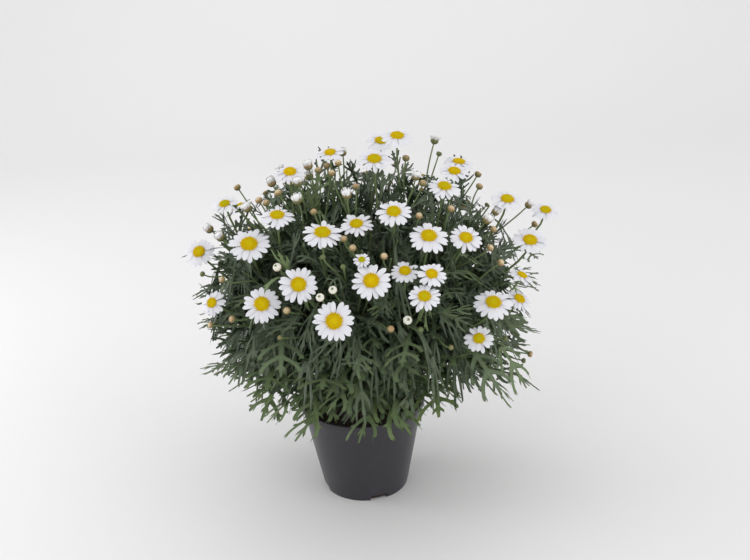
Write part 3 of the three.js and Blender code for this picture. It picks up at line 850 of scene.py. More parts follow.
def spun(profile: Sequence[Pair], steps: int, scale: float = 1.0) -> BMesh:
    """Spins a profile round the Z axis.

    Args:
        profile: Radii and heights that start and end on the axis.
        steps: Steps of the full turn.
        scale: What one unit of the profile becomes.

    Returns:
        The closed shape.
    """
    bm = bmesh.new()
    verts = [bm.verts.new((r * scale, 0, z * scale)) for r, z in profile]
    edges = [bm.edges.new(pair) for pair in zip(verts, verts[1:])]
    turn = {"cent": (0, 0, 0), "axis": (0, 0, 1), "angle": 2 * math.pi, "steps": steps, "use_merge": True}
    bmesh.ops.spin(bm, geom=verts + edges, **turn)
    bmesh.ops.remove_doubles(bm, verts=bm.verts, dist=1e-4 * scale)
    bmesh.ops.recalc_face_normals(bm, faces=bm.faces)
    return bm


@dataclass
class HeadMaker:
    """Makes the rays, the disc of florets and the green cup of every head, in shares of its radius.

    ray_lengths and ray_widths are the limits of each ray, and the share hanging of the rays droops
    further, by hang. cup_depth, cup_top, lift and small are millimetres.
    """

    rays: int = 18
    ray_share: float = 0.258
    ray_lengths: Pair = (0.9, 1.0)
    ray_widths: Pair = (0.86, 1.12)
    hanging: float = 0.1
    hang: float = 0.16
    root_share: float = 0.28
    disc_share: float = 0.37
    dome_share: float = 0.16
    cup_share: float = 0.36
    cup_depth: float = 5.6
    cup_top: float = -0.7
    florets: int = 120
    lift: float = 0.2
    thickness: float = 0.022
    groove: float = 0.014
    small: float = 19.0
    bracts: tuple[tuple[float, float, int], ...] = ((0.42, -0.86, 8), (0.78, -0.66, 11), (0.97, -0.34, 13))

    def __post_init__(self) -> None:
        """Makes the shapes that every head copies."""
        self.ray = self._ray_shape()
        self.dome = self._dome_shape()
        self.floret = self._floret_shape()
        profile = [(0.0, -1.0), (0.22, -1.0), (0.62, -0.82), (0.92, -0.5), (1.0, -0.16), (0.9, 0.0), (0, 0)]
        self.cup = Shape.of("cup", spun(profile, 14))
        self.scale = self._scale_shape()

    def _ray_shape(self) -> Shape:
        """Makes a ray of length 1 along Y, with two grooves and a blunt tip of three teeth."""
        bm = bmesh.new()
        bmesh.ops.create_grid(bm, x_segments=4, y_segments=6, size=0.5)
        for vert in bm.verts:
            across = vert.co.x * 2
            along = vert.co.y + 0.5
            width = 0.5 + 0.5 * math.sin(min(along, 0.55) / 0.55 * math.pi / 2)
            width *= math.sqrt(max(0.0, 1 - max(0.0, (along - 0.6) / 0.425) ** 2.3))
            blunt = 0.04 * abs(across) ** 1.5 if along > 0.99 else 0
            notch = 0.02 if along > 0.99 and 0.3 < abs(across) < 0.7 else 0
            groove = -self.groove * math.cos(across * 2 * math.pi) * min(1.0, 3 * along)
            vert.co = (across * 0.5 * width, along - blunt - notch, groove)
        bmesh.ops.solidify(bm, geom=bm.faces[:], thickness=self.thickness)
        return Shape.of("ray", bm)

    def _dome_shape(self) -> Shape:
        """Makes the body of a disc, of radius 1, with its flat side down."""
        bm = bmesh.new()
        bmesh.ops.create_uvsphere(bm, u_segments=20, v_segments=12, radius=1)
        whole = bm.verts[:] + bm.edges[:] + bm.faces[:]
        bmesh.ops.bisect_plane(bm, geom=whole, plane_co=(0, 0, 0), plane_no=(0, 0, 1), clear_inner=True)
        bmesh.ops.contextual_create(bm, geom=[e for e in bm.edges if e.is_boundary])
        return Shape.of("dome", bm)

    def _floret_shape(self) -> Shape:
        """Makes a floret: a small five-sided bud of height 1 that is open at its top."""
        bm = bmesh.new()
        bmesh.ops.create_cone(bm, cap_ends=True, segments=5, radius1=0.34, radius2=0.52, depth=1)
        bm.normal_update()
        top = [f for f in bm.faces if f.normal.z > 0.9]
        bmesh.ops.inset_region(bm, faces=top, thickness=0.2)
        bmesh.ops.translate(bm, verts=list({v for f in top for v in f.verts}), vec=(0, 0, 0.16))
        return Shape.of("floret", bm)

    def _scale_shape(self) -> Shape:
        """Makes a small bract of length 1 along Y with a rounded tip."""
        bm = bmesh.new()
        bmesh.ops.create_grid(bm, x_segments=2, y_segments=3, size=0.5)
        for vert in bm.verts:
            along = vert.co.y + 0.5
            width = math.sqrt(max(0.03, 1 - along**2.2))
            vert.co = Vector((vert.co.x * width, along, 0.1 * (1 - (2 * vert.co.x) ** 2)))
        bmesh.ops.solidify(bm, geom=bm.faces[:], thickness=0.08)
        return Shape.of("scale", bm)

    def build(self, head: Head, finishes: "Finishes", greens: Cluster) -> None:
        """Builds one head, and adds its cup to the branch's greens.

        Args:
            head: The head.
            finishes: The plant's finishes.
            greens: The stems of the head's branch.
        """
        rays = Cluster(f"{head.name}_petals")
        florets = Cluster(f"{head.name}_florets")
        self._add_rays(head, rays)
        self._add_disc(head, florets)
        self._add_cup(head, greens)
        rays.build(finishes.ray, "rays", head.nodes[:1])
        florets.build(finishes.disc, "disc", head.nodes[-1:])

    def _add_rays(self, head: Head, rays: Cluster) -> None:
        """Lays the rays round the disc in two uneven layers.

        Args:
            head: The head.
            rays: Its rays.
        """
        random = SeededRandom(head.number * 7 + 3)
        radius = head.radius
        start = radius * self.root_share
        count = self.rays + round(random.around(2)) - (2 if radius < self.small else 0)
        lift = random.between(-0.08, 0.08)
        x, y, z = self.ray.points.T
        for i in range(count):
            angle = 2 * math.pi * (i + random.around(0.45)) / count
            layer = (0.5 if i % 2 else -0.3) + random.around(0.5)
            length = radius * random.between(*self.ray_lengths) - start
            width = radius * self.ray_share * random.between(*self.ray_widths) * self.rays / count
            rise = lift + random.around(0.18)
            droop = 0.05 + 0.12 * random() + (self.hang if random() < self.hanging else 0)
            roll = random.around(0.5)
            height = layer + radius * (rise * y - droop * y**2) + z * length + roll * x * width * y
            points = fanned(angle, start + y * length, x * width, height)
            rays.add(self.ray, head.place(points), random())

    def _add_disc(self, head: Head, florets: Cluster) -> None:
        """Sets the dome and its florets, in the spirals of a daisy.

        Args:
            head: The head.
            florets: Its disc.
        """
        random = SeededRandom(head.number * 13 + 5)
        radius = head.radius * self.disc_share
        height = head.radius * self.dome_share * random.between(0.8, 1.1) * 0.86
        youth = 1.0 if head.radius < 12 else random.between(0.0, 0.55) * (1.3 if head.radius < 20 else 0.8)
        dome = self.dome.points * np.array([radius * 0.97, radius * 0.97, height])
        florets.add(self.dome, head.place(dome + [0, 0, self.lift]), youth, 0.2)
        for i in range(self.florets):
            share = math.sqrt((i + 0.5) / self.florets)
            angle = i * math.radians(GOLDEN_ANGLE)
            up = math.sqrt(max(0.0, 1 - share**2))
            out = share * radius
            place = np.array([out * math.cos(angle), out * math.sin(angle), self.lift + height * up])
            axis = unit(np.array([place[0] * 0.5, place[1] * 0.5, radius * (0.8 * up + 0.25)]))
            size = radius * (0.1 + 0.06 * share)
            side = unit(np.cross(axis, [0.3, 0.7, 0.2]))
            axes = np.array([side, np.cross(axis, side), axis])
            points = place + (self.floret.points * size * [1, 1, 0.8 + 0.8 * share]) @ axes
            florets.add(self.floret, head.place(points), youth, share)

    def _add_cup(self, head: Head, greens: Cluster) -> None:
        """Sets the green cup, with three rings of bracts, under a head.

        Args:
            head: The head.
            greens: The stems of its branch.
        """
        random = SeededRandom(head.number * 17 + 1)
        radius = head.radius * self.cup_share
        cup = self.cup.points * [radius, radius, self.cup_depth] + [0, 0, self.cup_top]
        tone = random.between(0.35, 0.7)
        greens.add(self.cup, head.place(cup), tone, 0.8)
        x, y, z = self.scale.points.T
        for ring, (share, level, count) in enumerate(self.bracts):
            rise = np.clip(level + y * 0.5, -1, 0.05) * self.cup_depth + self.cup_top
            out = radius * (share + 0.05 + (1.02 - share) * np.clip(y * 1.6, 0, 1) * 0.5) + z * radius * 0.5
            for angle in ring_angles(ring, count):
                points = wrapped(out, angle + x * 0.42 / max(share, 0.4) * 0.9, rise)
                greens.add(self.scale, head.place(points), tone + 0.2 * random(), 0.8)


# Buds


@dataclass(frozen=True)
class BudForm:
    """A bud's radius, its colour from green to cream, and the rolled white rays that show on top.

    leans is how far the rays lean out, in radians, lengths and the rest are shares of the radius,
    and cushion is the height and the thickness of the white between the rays.
    """

    radius: float
    ripe: float
    rays: int = 0
    leans: Pair = (0.0, 0.0)
    lengths: Pair = (0.0, 0.0)
    curl: float = 0.0
    cushion: Pair = (0.0, 0.0)


class BudKind(Enum):
    """How far a bud has come."""

    GREEN = BudForm(3.4, 0.1)
    TAN = BudForm(4.3, 0.46)
    WHITE = BudForm(5.3, 1.15)
    TUFT = BudForm(5.4, 0.46, 12, (0.3, 0.5), (1.4, 1.65), 0.3, (0.62, 0.78))
    OPEN = BudForm(5.6, 0.4, 13, (0.5, 0.9), (1.6, 1.95), 0.26, (0.55, 0.7))
    YOUNG = BudForm(10.5, 0.2)


GREEN, TAN, WHITE, TUFT, OPEN, YOUNG = BudKind

# The middle and the kind of each bud: the frame's own, and those that only show here
FRAME_BUDS = (
    (-150, 40, 425, TAN), (-100, -15, 447, TUFT), (-53, -12, 466, TUFT), (-115, -45, 435, TAN),
    (-165, -55, 392, TUFT), (-148, -148, 322, TAN), (-40, -35, 467, TAN), (-5, -90, 452, TUFT),
    (0, -150, 407, TAN), (-80, -175, 342, TAN), (10, -158, 395, YOUNG), (80, -105, 427, TAN),
    (36, -155, 397, TAN), (60, -190, 330, WHITE), (110, -185, 290, GREEN), (180, -137, 275, GREEN),
    (110, 62, 470, OPEN), (80, -47, 457, TUFT), (180, -28, 400, TUFT), (228, 20, 390, TUFT),
    (218, -82, 225, TAN), (-10, 25, 470, TUFT), (60, 110, 425, TAN), (-60, 120, 410, OPEN),
)
MORE_BUDS = (
    (-90, -50, 445, TAN), (-65, -45, 455, TUFT), (-80, -30, 455, TUFT), (-65, -80, 445, TUFT),
    (-105, -57, 435, TAN), (-130, -45, 425, TUFT), (-150, -5, 415, GREEN), (-185, -5, 385, TUFT),
    (-190, -70, 350, GREEN), (-30, -10, 465, TAN), (-23, -42, 465, TAN), (-15, -25, 472, TAN),
    (6, -75, 457, TAN), (-45, -103, 437, TAN), (-10, -140, 415, TAN), (-90, -145, 385, WHITE),
    (-35, -157, 400, GREEN), (-12, -165, 390, GREEN), (-160, -115, 360, TAN), (-178, -125, 305, TAN),
    (-40, -182, 360, WHITE), (-25, -178, 367, WHITE), (-90, -180, 310, GREEN), (115, 52, 455, GREEN),
    (70, 0, 467, TAN), (88, -52, 450, TAN), (165, 45, 427, TAN), (162, -5, 427, TAN),
    (165, -70, 405, TUFT), (172, -77, 395, TAN), (235, 10, 367, TAN), (120, -85, 427, TAN),
    (165, -105, 382, TAN), (177, -112, 365, TAN), (40, -195, 322, TAN), (210, -80, 215, GREEN),
    (75, -190, 317, GREEN), (-120, 110, 392, TAN), (-95, 85, 432, TUFT), (-150, 95, 350, GREEN),
    (-30, 165, 372, TAN), (20, 130, 420, TUFT), (95, 145, 375, TAN), (150, 120, 355, TAN),
    (180, 80, 372, GREEN),
)


@dataclass
class BudMaker:
    """Makes the closed, half-open and just opening buds with their scales, in shares of the radius."""

    ray: Shape
    scale: Shape
    rings: tuple[tuple[float, int], ...] = ((-0.78, 5), (-0.38, 6), (0.02, 7))
    star_tips: int = 5
    cushion_width: float = 0.84
    sizes: Pair = (0.88, 1.08)

    def __post_init__(self) -> None:
        """Makes the body that every bud copies."""
        bm = bmesh.new()
        bmesh.ops.create_uvsphere(bm, u_segments=14, v_segments=9, radius=1)
        for vert in bm.verts:
            swell = 1 + 0.035 * math.cos(7 * math.atan2(vert.co.y, vert.co.x))
            top = max(0.0, vert.co.z - 0.8)
            vert.co = Vector((vert.co.x * swell, vert.co.y * swell, vert.co.z - 1.3 * top))
        self.body = Shape.of("bud", bm)

    def add(self, bud: Head, kind: BudKind, scales: Cluster, petals: Cluster) -> None:
        """Adds one bud.

        Args:
            bud: Its place, as a small head.
            kind: How far it has come.
            scales: The branch's bud bodies and bracts.
            petals: The branch's bud rays.
        """
        random = SeededRandom(bud.number * 11 + 9)
        form = kind.value
        radius = form.radius * random.between(*self.sizes)
        bud = replace(bud, radius=radius)
        tone = max(0.0, form.ripe + random.around(0.2))
        body = self.body.points * [radius, radius, radius * 0.94]
        if form.rays:
            body[:, 2] = np.where(body[:, 2] > 0, 0.45, 1.0) * body[:, 2]
        scales.add(self.body, bud.place(body), tone, 0.5 + self.body.points[:, 2] * 0.5)
        for ring, (level, count) in enumerate(self.rings):
            for angle in ring_angles(ring, count):
                self._add_scale(bud, level, angle, tone, scales)
        if kind is WHITE:
            self._add_star(bud, scales)
        if form.rays:
            self._add_petals(bud, form, random, petals)

    def _add_scale(self, bud: Head, level: float, angle: float, tone: float, scales: Cluster) -> None:
        """Lays one bract on a bud's body.

        Args:
            bud: The bud.
            level: The height at which the bract starts.
            angle: Where it stands round the bud, in radians.
            tone: The bud's own shade.
            scales: The branch's bud bodies and bracts.
        """
        x, y, z = self.scale.points.T
        lift = level + y * 0.66
        out = np.sqrt(np.clip(1 - lift**2, 0.02, 1)) * 1.03 + z * 0.25
        points = wrapped(out, angle + x * 0.85, lift * 0.94) * bud.radius
        shade = max(0.0, tone - 0.12 - 0.2 * max(0.0, -level))
        scales.add(self.scale, bud.place(points), shade, 0.5 + lift * 0.3 - 0.3 * np.clip(y, 0, 1) ** 3)

    def _add_star(self, bud: Head, scales: Cluster) -> None:
        """Lays the small green star of bract tips on a round bud's top.

        Args:
            bud: The bud.
            scales: The branch's bud bodies and bracts.
        """
        radius = bud.radius
        x, y, z = self.scale.points.T
        height = radius * (0.93 + 0.4 * z) - radius * 0.12 * y**2
        for i in range(self.star_tips):
            points = fanned(2 * math.pi * i / self.star_tips, radius * 0.42 * y, radius * 0.2 * x, height)
            scales.add(self.scale, bud.place(points), 0.3, 0.0)

    def _add_petals(self, bud: Head, form: BudForm, random: SeededRandom, petals: Cluster) -> None:
        """Sets the white that shows on a half-open bud: a cushion of rolled rays, and a ring round it.

        Args:
            bud: The bud.
            form: How far its rays stand out.
            random: The bud's own run of numbers.
            petals: The branch's bud rays.
        """
        radius = bud.radius
        high, tall = form.cushion
        wide = radius * self.cushion_width
        cushion = self.body.points * [wide, wide, radius * tall] + [0, 0, radius * high]
        # The along marks from 0.7 up keep the painted root shade on the bud rays faint.
        petals.add(self.body, bud.place(cushion), 0.3, 0.8 + 0.1 * self.body.points[:, 2])
        x, y, z = self.ray.points.T
        for i in range(form.rays):
            angle = 2 * math.pi * (i + 0.4 * random()) / form.rays
            lean = random.between(*form.leans)
            length = radius * random.between(*form.lengths)
            foot, close = (0.6, form.curl * 1.7) if i % 2 else (0.82, form.curl)
            out = radius * foot + length * (y * math.sin(lean) - close * y**3 - z)
            height = radius * 0.2 + length * (y - 0.18 * y**3) * math.cos(lean)
            points = fanned(angle, out, x * radius * 0.85, height)
            petals.add(self.ray, bud.place(points), random(), 0.7 + 0.3 * y)


# Foliage


@dataclass
class Growth:
    """What grows on one branch, as the pieces to come, and its shoots in the frame."""

    branch: Branch

    def __post_init__(self) -> None:
        """Starts the pieces empty."""
        parts = ("stems", "leaves", "foliage", "buds", "bud_petals")
        clusters = [Cluster(f"{self.branch.name}_{part}") for part in parts]
        self.stems, self.leaves, self.foliage, self.buds, self.bud_petals = clusters
        self.shoots: list[Shoot] = []

    def build(self, finishes: "Finishes") -> None:
        """Builds the pieces that hold anything."""
        for cluster, material, slot in (
            (self.stems, finishes.stem, "leaf"),
            (self.leaves, finishes.leaf, "leaf"),
            (self.foliage, finishes.leaf, "leaf"),
            (self.buds, finishes.bud, "disc"),
            (self.bud_petals, finishes.bud_ray, "rays"),
        ):
            if cluster.shapes:
                cluster.build(material, slot, [self.branch.name])


@dataclass(frozen=True)
class Clearing:
    """The space that new leaves keep out of: before the heads, in the pot and below the hem."""

    feet: Array
    normals: Array
    radii: Array
    depth: float = 60.0
    behind: float = 4.0
    margin: float = 10.0
    pot_radius: float = 92.0
    pot_top: float = 136.0
    hem: float = 132.0
    hem_rise: float = 0.42
    hem_width: float = 110.0

    @classmethod
    def of(cls, heads: Sequence[Head]) -> "Clearing":
        """Takes the clearing from the heads."""
        return cls(*(np.array([getattr(h, key) for h in heads]) for key in ("foot", "normal", "radius")))

    def is_free(self, points: Array) -> bool:
        """Tells whether a leaf keeps out of the clearing.

        Args:
            points: Points of the leaf.

        Returns:
            True where the leaf can grow.
        """
        rise = points[:, None, :] - self.feet
        height = (rise * self.normals).sum(-1)
        across = np.linalg.norm(rise - height[..., None] * self.normals, axis=-1)
        before = (height > -self.behind) & (height < self.depth) & (across < self.radii + self.margin)
        out = np.hypot(points[:, 0], points[:, 1])
        in_pot = (out < self.pot_radius) & (points[:, 2] < self.pot_top)
        hem = self.hem + self.hem_rise * np.clip(out - self.pot_radius, 0, self.hem_width)
        return not before.any() and not in_pot.any() and bool((points[:, 2] > hem).all())


@dataclass(frozen=True)
class Outline:
    """How wide the bush is at each height; it reaches lower on the right than on the left.

    A frame leaf may stray past the outline by the share stray, and past the bush's sides it is
    shortened to that, but never below the share shortest of its length.
    """

    reach: Pair = (213.0, 190.0)
    heights: tuple[float, ...] = (120, 160, 200, 250, 300, 345, 385, 415, 438, 452)
    shares: tuple[float, ...] = (0.42, 0.56, 0.7, 0.85, 0.98, 1.0, 0.92, 0.76, 0.52, 0.1)
    right_shares: tuple[float, ...] = (0.84, 1.0, 1.04, 1.03, 1.0, 1.0, 0.95, 0.82, 0.56, 0.1)
    stray: float = 1.1
    shortest: float = 0.55

    def at(self, bearing: float, height: float) -> Array:
        """Finds the point of the outline at a bearing and a height.

        Args:
            bearing: The bearing.
            height: The height.

        Returns:
            The point.
        """
        way = bearing_way(bearing)
        left = np.interp(height, self.heights, self.shares)
        right = np.interp(height, self.heights, self.right_shares)
        share = left + (right - left) * max(0.0, way[0]) ** 2
        return np.array([MIDDLE[0] + way[0] * self.reach[0] * share, way[1] * self.reach[1] * share, height])

    def draw_in(self, pose: Pose) -> Pose:
        """Shortens a leaf that would stray past the widest part of the bush.

        Args:
            pose: The leaf's pose in the frame.

        Returns:
            The same pose, or a shorter leaf's.
        """
        tip = pose.tip
        limit = self.stray * math.hypot(*self.at(bearing_of(tip), tip[2])[:2])
        start, end = math.hypot(*pose.root[:2]), math.hypot(*tip[:2])
        if end <= limit or abs(tip[0]) < self.reach[0]:
            return pose
        return replace(pose, length=pose.length * max(self.shortest, (limit - start) / (end - start)))

    def height_at(self, low: float, high: float, share: float) -> float:
        """Finds a height such that twigs spread evenly over the outline's face.

        Args:
            low: Where the band starts.
            high: Where it ends.
            share: The share of the band's face that lies below the height.

        Returns:
            The height.
        """
        z = np.linspace(low, high, 80)
        r = np.interp(z, self.heights, self.shares) * self.reach[0]
        faces = 0.5 * (r[1:] + r[:-1]) * np.hypot(np.diff(r), np.diff(z))
        total = np.concatenate([[0.0], np.cumsum(faces)])
        return float(np.interp(share * total[-1], total, z))


@dataclass(frozen=True)
class Zone:
    """A band of the bush, whose leafy twigs are alike.

    depth is how far out the twigs' tips lie, arrive how steeply the twigs end, and lift how far
    their leaves turn up.
    """

    name: str
    twigs: int
    low: float
    high: float
    depth: Pair
    plan: LeafPlan
    kinds: tuple[LeafKind, ...]
    tone: Pair
    arrive: float
    lift: float
    seed: int


FINE = (LeafKind.CROWN, LeafKind.CROWN_SLIM, LeafKind.CROWN, LeafKind.FLANK)
MEDIUM = (LeafKind.FLANK, LeafKind.SKIRT, LeafKind.CROWN)
BROAD = (LeafKind.SKIRT, LeafKind.BROAD_THREE, LeafKind.BROAD_TWO)
TOP_PLAN = LeafPlan(0.5, 1.0, 10, 62, 74, 0.95)
CROWN_PLAN = LeafPlan(0.45, 1.0, 9, 72, 72, 0.9)
FLANK_PLAN = LeafPlan(0.42, 1.0, 7, 81, 76, 0.3)
SKIRT_PLAN = LeafPlan(0.4, 1.0, 6, 94, 66, 0.3)
ZONES = (
    Zone("top", 72, 392, 450, (0.78, 0.94), TOP_PLAN, FINE, (0.0, 0.4), 0.85, 0.5, 1000),
    Zone("crown", 74, 300, 392, (0.76, 0.93), CROWN_PLAN, FINE, (0.0, 0.4), 0.6, 0.45, 2000),
    Zone("flank", 46, 215, 300, (0.72, 0.9), FLANK_PLAN, MEDIUM, (0.0, 0.5), 0.5, 0.3, 3000),
    Zone("skirt", 26, 165, 215, (0.66, 0.88), SKIRT_PLAN, BROAD, (0.25, 0.75), 0.3, 0.1, 4000),
)


@dataclass
class Foliage:
    """The leafy twigs between the frame's own shoots; the last leaves of some twigs are young.

    lifts, lengths, droops, twists and bends are the limits between which each leaf of a twig varies.
    """

    leaves: dict[LeafKind, Shape]
    clearing: Clearing
    twig: Shape
    growths: dict[str, Growth]
    outline: Outline = field(default_factory=Outline)
    inner_leaves: int = 380
    inner_seed: int = 7000
    inner_heights: Pair = (185, 390)
    inner_reach: Pair = (0.3, 0.56)
    inner_lengths: Pair = (38, 60)
    young_every: int = 31
    young_first: int = 4
    young_leaves: int = 4
    young_tone: float = 0.75
    lifts: Pair = (-0.8, 2.8)
    lengths: Pair = (0.75, 1.2)
    droops: Pair = (-0.3, 1.8)
    twists: Pair = (-1.3, 1.3)
    bends: Pair = (-0.55, 0.55)

    def __post_init__(self) -> None:
        """Starts the list of twig points that buds may grow from."""
        self.spots: list[Array] = []

    def grow(self, zone: Zone) -> int:
        """Grows a zone's twigs with their leaves.

        Args:
            zone: The zone.

        Returns:
            How many leaves grew.
        """
        count = 0
        for number in range(zone.twigs):
            random = SeededRandom(zone.seed + number)
            height = self.outline.height_at(zone.low, zone.high, (number + random()) / zone.twigs)
            bearing = (number * GOLDEN_ANGLE + zone.seed * 0.037) % 360 - 180
            edge = self.outline.at(bearing, height)
            tip = edge - (edge - MIDDLE) * (1 - random.between(*zone.depth))
            branch = branch_at(bearing_of(tip))
            curve = self._curve(branch, tip, zone.arrive)
            widest = self.leaves[zone.kinds[0]]
            poses = self._poses(curve, zone, random)
            grown = [p for p in poses if self.clearing.is_free(p.place(widest)[::4])]
            if not grown:
                continue
            count += len(grown)
            self.spots.extend(curve.at(np.array([0.72, 0.84])))
            growth = self.growths[branch.name]
            growth.stems.add_stalk(self.twig, curve, (1.9, 1.0), 0.3 + 0.3 * random(), (0.0, 0.7))
            young = number % self.young_every == self.young_first
            for k, pose in enumerate(grown):
                shape = self.leaves[zone.kinds[int(random() * len(zone.kinds)) % len(zone.kinds)]]
                tone = random.between(*zone.tone)
                if young and k >= len(grown) - self.young_leaves:
                    tone = self.young_tone
                growth.foliage.add(shape, pose.place(shape), tone)
        return count

    def fill(self) -> None:
        """Fills the middle of the bush with broad inner leaves in the darkest tones, as painted shade."""
        shape = self.leaves[LeafKind.INNER]
        low, high = self.inner_heights
        for number in range(self.inner_leaves):
            random = SeededRandom(self.inner_seed + number)
            bearing = number * GOLDEN_ANGLE % 360 - 180
            height = low + (high - low) * (number + random()) / self.inner_leaves
            edge = self.outline.at(bearing, height) - MIDDLE
            root = MIDDLE + edge * random.between(*self.inner_reach)
            way = bearing_way(bearing + random.between(-70, 70), random.between(-50, 60))
            normal = square_to(way, bearing_way(360 * random(), random.between(20, 90)))
            length = random.between(*self.inner_lengths)
            pose = Pose(root, way, normal, length, 0.25, twist=random.between(-0.8, 0.8))
            blades = self.growths[branch_at(bearing).name].foliage
            # Tones near 0 take the darkest green: painted shade in the bush's middle.
            blades.add(shape, pose.place(shape), random.between(0.0, 0.12))

    def _curve(self, branch: Branch, tip: Array, arrive: float) -> Curve:
        """Draws a twig.

        Args:
            branch: The branch that it leaves.
            tip: Its tip.
            arrive: How steeply it ends.

        Returns:
            The twig's curve.
        """
        start = branch.fork + (tip - branch.fork) * 0.1
        span = float(np.linalg.norm(tip - start))
        out = unit((tip - MIDDLE) * [1, 1, 0.3])
        arrival = unit(out + UP * arrive)
        leave = unit(branch.way + out * 0.6)
        return Curve(start, start + leave * span * 0.35, tip - arrival * span * 0.3, tip)

    def _poses(self, curve: Curve, zone: Zone, random: SeededRandom) -> list[Pose]:
        """Poses a twig's leaves all round it, shorter towards its tip.

        Args:
            curve: The twig's curve.
            zone: Its zone.
            random: Its own run of numbers.

        Returns:
            The leaves' poses.
        """
        poses = []
        plan = zone.plan
        start = 360 * random()
        for i in range(plan.count):
            t = plan.first + (plan.last - plan.first) * (i + 0.5 * random()) / plan.count
            along = curve.tangent(t)
            side = unit(np.cross(along, UP + bearing_way(70) * 0.01))
            angle = math.radians(start + i * GOLDEN_ANGLE + 30 * random())
            radial = unit(side * math.cos(angle) + np.cross(along, side) * math.sin(angle) * 0.6)
            youth = (t - plan.first) / (plan.last - plan.first)
            spread = math.radians(plan.spread * (1.2 - 0.6 * youth) + random.around(56))
            lift = zone.lift * random.between(*self.lifts)
            way = unit(along * math.cos(spread) + radial * math.sin(spread) + UP * lift)
            normal = square_to(way, UP + radial * 0.3 + along * 0.8)
            length = plan.length * random.between(*self.lengths) * (1.1 - 0.42 * youth)
            droop = plan.droop * random.between(*self.droops)
            twist, bend = random.between(*self.twists), random.between(*self.bends)
            poses.append(Pose(curve.at(t), way, normal, length, droop, twist=twist, bend=bend))
        return poses


# Pot, soil and woody base


def arc(centre: Pair, radius: float, first: float, last: float, steps: int) -> list[Pair]:
    """Draws an arc.

    Args:
        centre: Its centre's distance from the axis, and height.
        radius: Its radius.
        first: Degrees at its start, where 0 points outwards and 90 up.
        last: Degrees at its end.
        steps: Its straight stretches.

    Returns:
        Its points.
    """
    angles = [math.radians(first + (last - first) * i / steps) for i in range(steps + 1)]
    return [(centre[0] + radius * math.cos(a), centre[1] + radius * math.sin(a)) for a in angles]


@dataclass
class Pot:
    """The nursery pot: a thin tapered wall with an outward lip, and notches in its foot."""

    height: float = 130.0
    foot: float = 58.0
    wall_radius: float = 81.8
    lip_radius: float = 85.0
    lip_height: float = 8.0
    wall: float = 1.4
    floor: float = 2.2
    outer_rings: tuple[float, ...] = (8, 12, 30, 50, 70, 90, 108, 118)
    inner_rings: tuple[float, ...] = (116, 90, 60, 30)
    notches: int = 4
    first_notch: float = 17.0
    notch_size: Place = (24.0, 16.0, 8.0)
    notch_corner: float = 3.4

    def profile(self) -> list[Pair]:
        """Draws the wall's section, from the middle of the foot round to the middle of the floor.

        Returns:
            Its radii and heights.
        """
        top = self.height - self.lip_height
        inner = self.wall_radius - self.wall
        low = self.foot - self.wall
        slope = math.degrees(math.atan2(self.wall_radius - self.foot, top))
        outside = [(0.0, 0.0), (30.0, 0.0), *arc((self.foot - 1.2, 1.2), 1.2, -90, -slope / 2, 4)]
        outside += [(self.foot + (self.wall_radius - self.foot) * z / top, z) for z in self.outer_rings]
        outside.append((self.wall_radius - 0.1, top - 1.2))
        lip = arc((self.lip_radius - 0.9, top + 1.1), 0.9, -80, 0, 3)
        lip += arc((self.lip_radius - 0.8, self.height - 0.8), 0.8, 0, 90, 3)
        lip += arc((self.lip_radius - 1.6, self.height - 0.8), 0.8, 90, 180, 3)
        inside = [(self.lip_radius - 2.6, self.height - 4), (inner + 0.4, top - 1.5)]
        inside += [(low + (inner - low) * z / top, z) for z in self.inner_rings]
        return [*outside, *lip, *inside, (low, self.floor + 0.6), (low - 1, self.floor), (0.0, self.floor)]

    def build(self, finishes: "Finishes") -> None:
        """Spins the pot and cuts its notches."""
        shell = link("pot_blank", to_mesh("pot_shell", spun(self.profile(), 96, MM)))
        cutters = link("notch_cutters", self._cutters())
        cut = shell.modifiers.new("notches", "BOOLEAN")
        cut.operation = "DIFFERENCE"
        cut.solver = "EXACT"
        cut.object = cutters
        result = shell.evaluated_get(bpy.context.evaluated_depsgraph_get())
        mesh = bpy.data.meshes.new_from_object(result)
        mesh.materials.clear()
        mesh.name = "pot_wall"
        bpy.data.objects.remove(shell)
        bpy.data.objects.remove(cutters)
        finish_piece("pot_wall", mesh, finishes.pot, "pot", ["pot"], crease=32)

    def _cutters(self) -> Mesh:
        """Makes what the notches take out of the foot.

        Returns:
            One block with rounded upper corners for each notch.
        """
        bm = bmesh.new()
        width, depth, height = self.notch_size
        for i in range(self.notches):
            verts = bmesh.ops.create_cube(bm, size=1)["verts"]
            bmesh.ops.scale(bm, vec=(width * MM, depth * MM, 2 * height * MM), verts=verts)
            high = {e for v in verts for e in v.link_edges if all(x.co.z > 0 for x in e.verts)}
            ends = [e for e in high if abs(e.verts[0].co.y - e.verts[1].co.y) > 1e-3]
            round_off = {"offset": self.notch_corner * MM, "segments": 4, "profile": 0.5, "material": -1}
            bevel = bmesh.ops.bevel(bm, geom=ends, affect="EDGES", **round_off)
            verts = list({v for f in bevel["faces"] for v in f.verts} | {v for v in verts if v.is_valid})
            bmesh.ops.translate(bm, verts=verts, vec=(0, -self.foot * MM, 0))
            turn = Matrix.Rotation(math.radians(self.first_notch + 360 * i / self.notches), 3, "Z")
            bmesh.ops.rotate(bm, verts=verts, cent=(0, 0, 0), matrix=turn)
        return to_mesh("notch_cutters", bm)


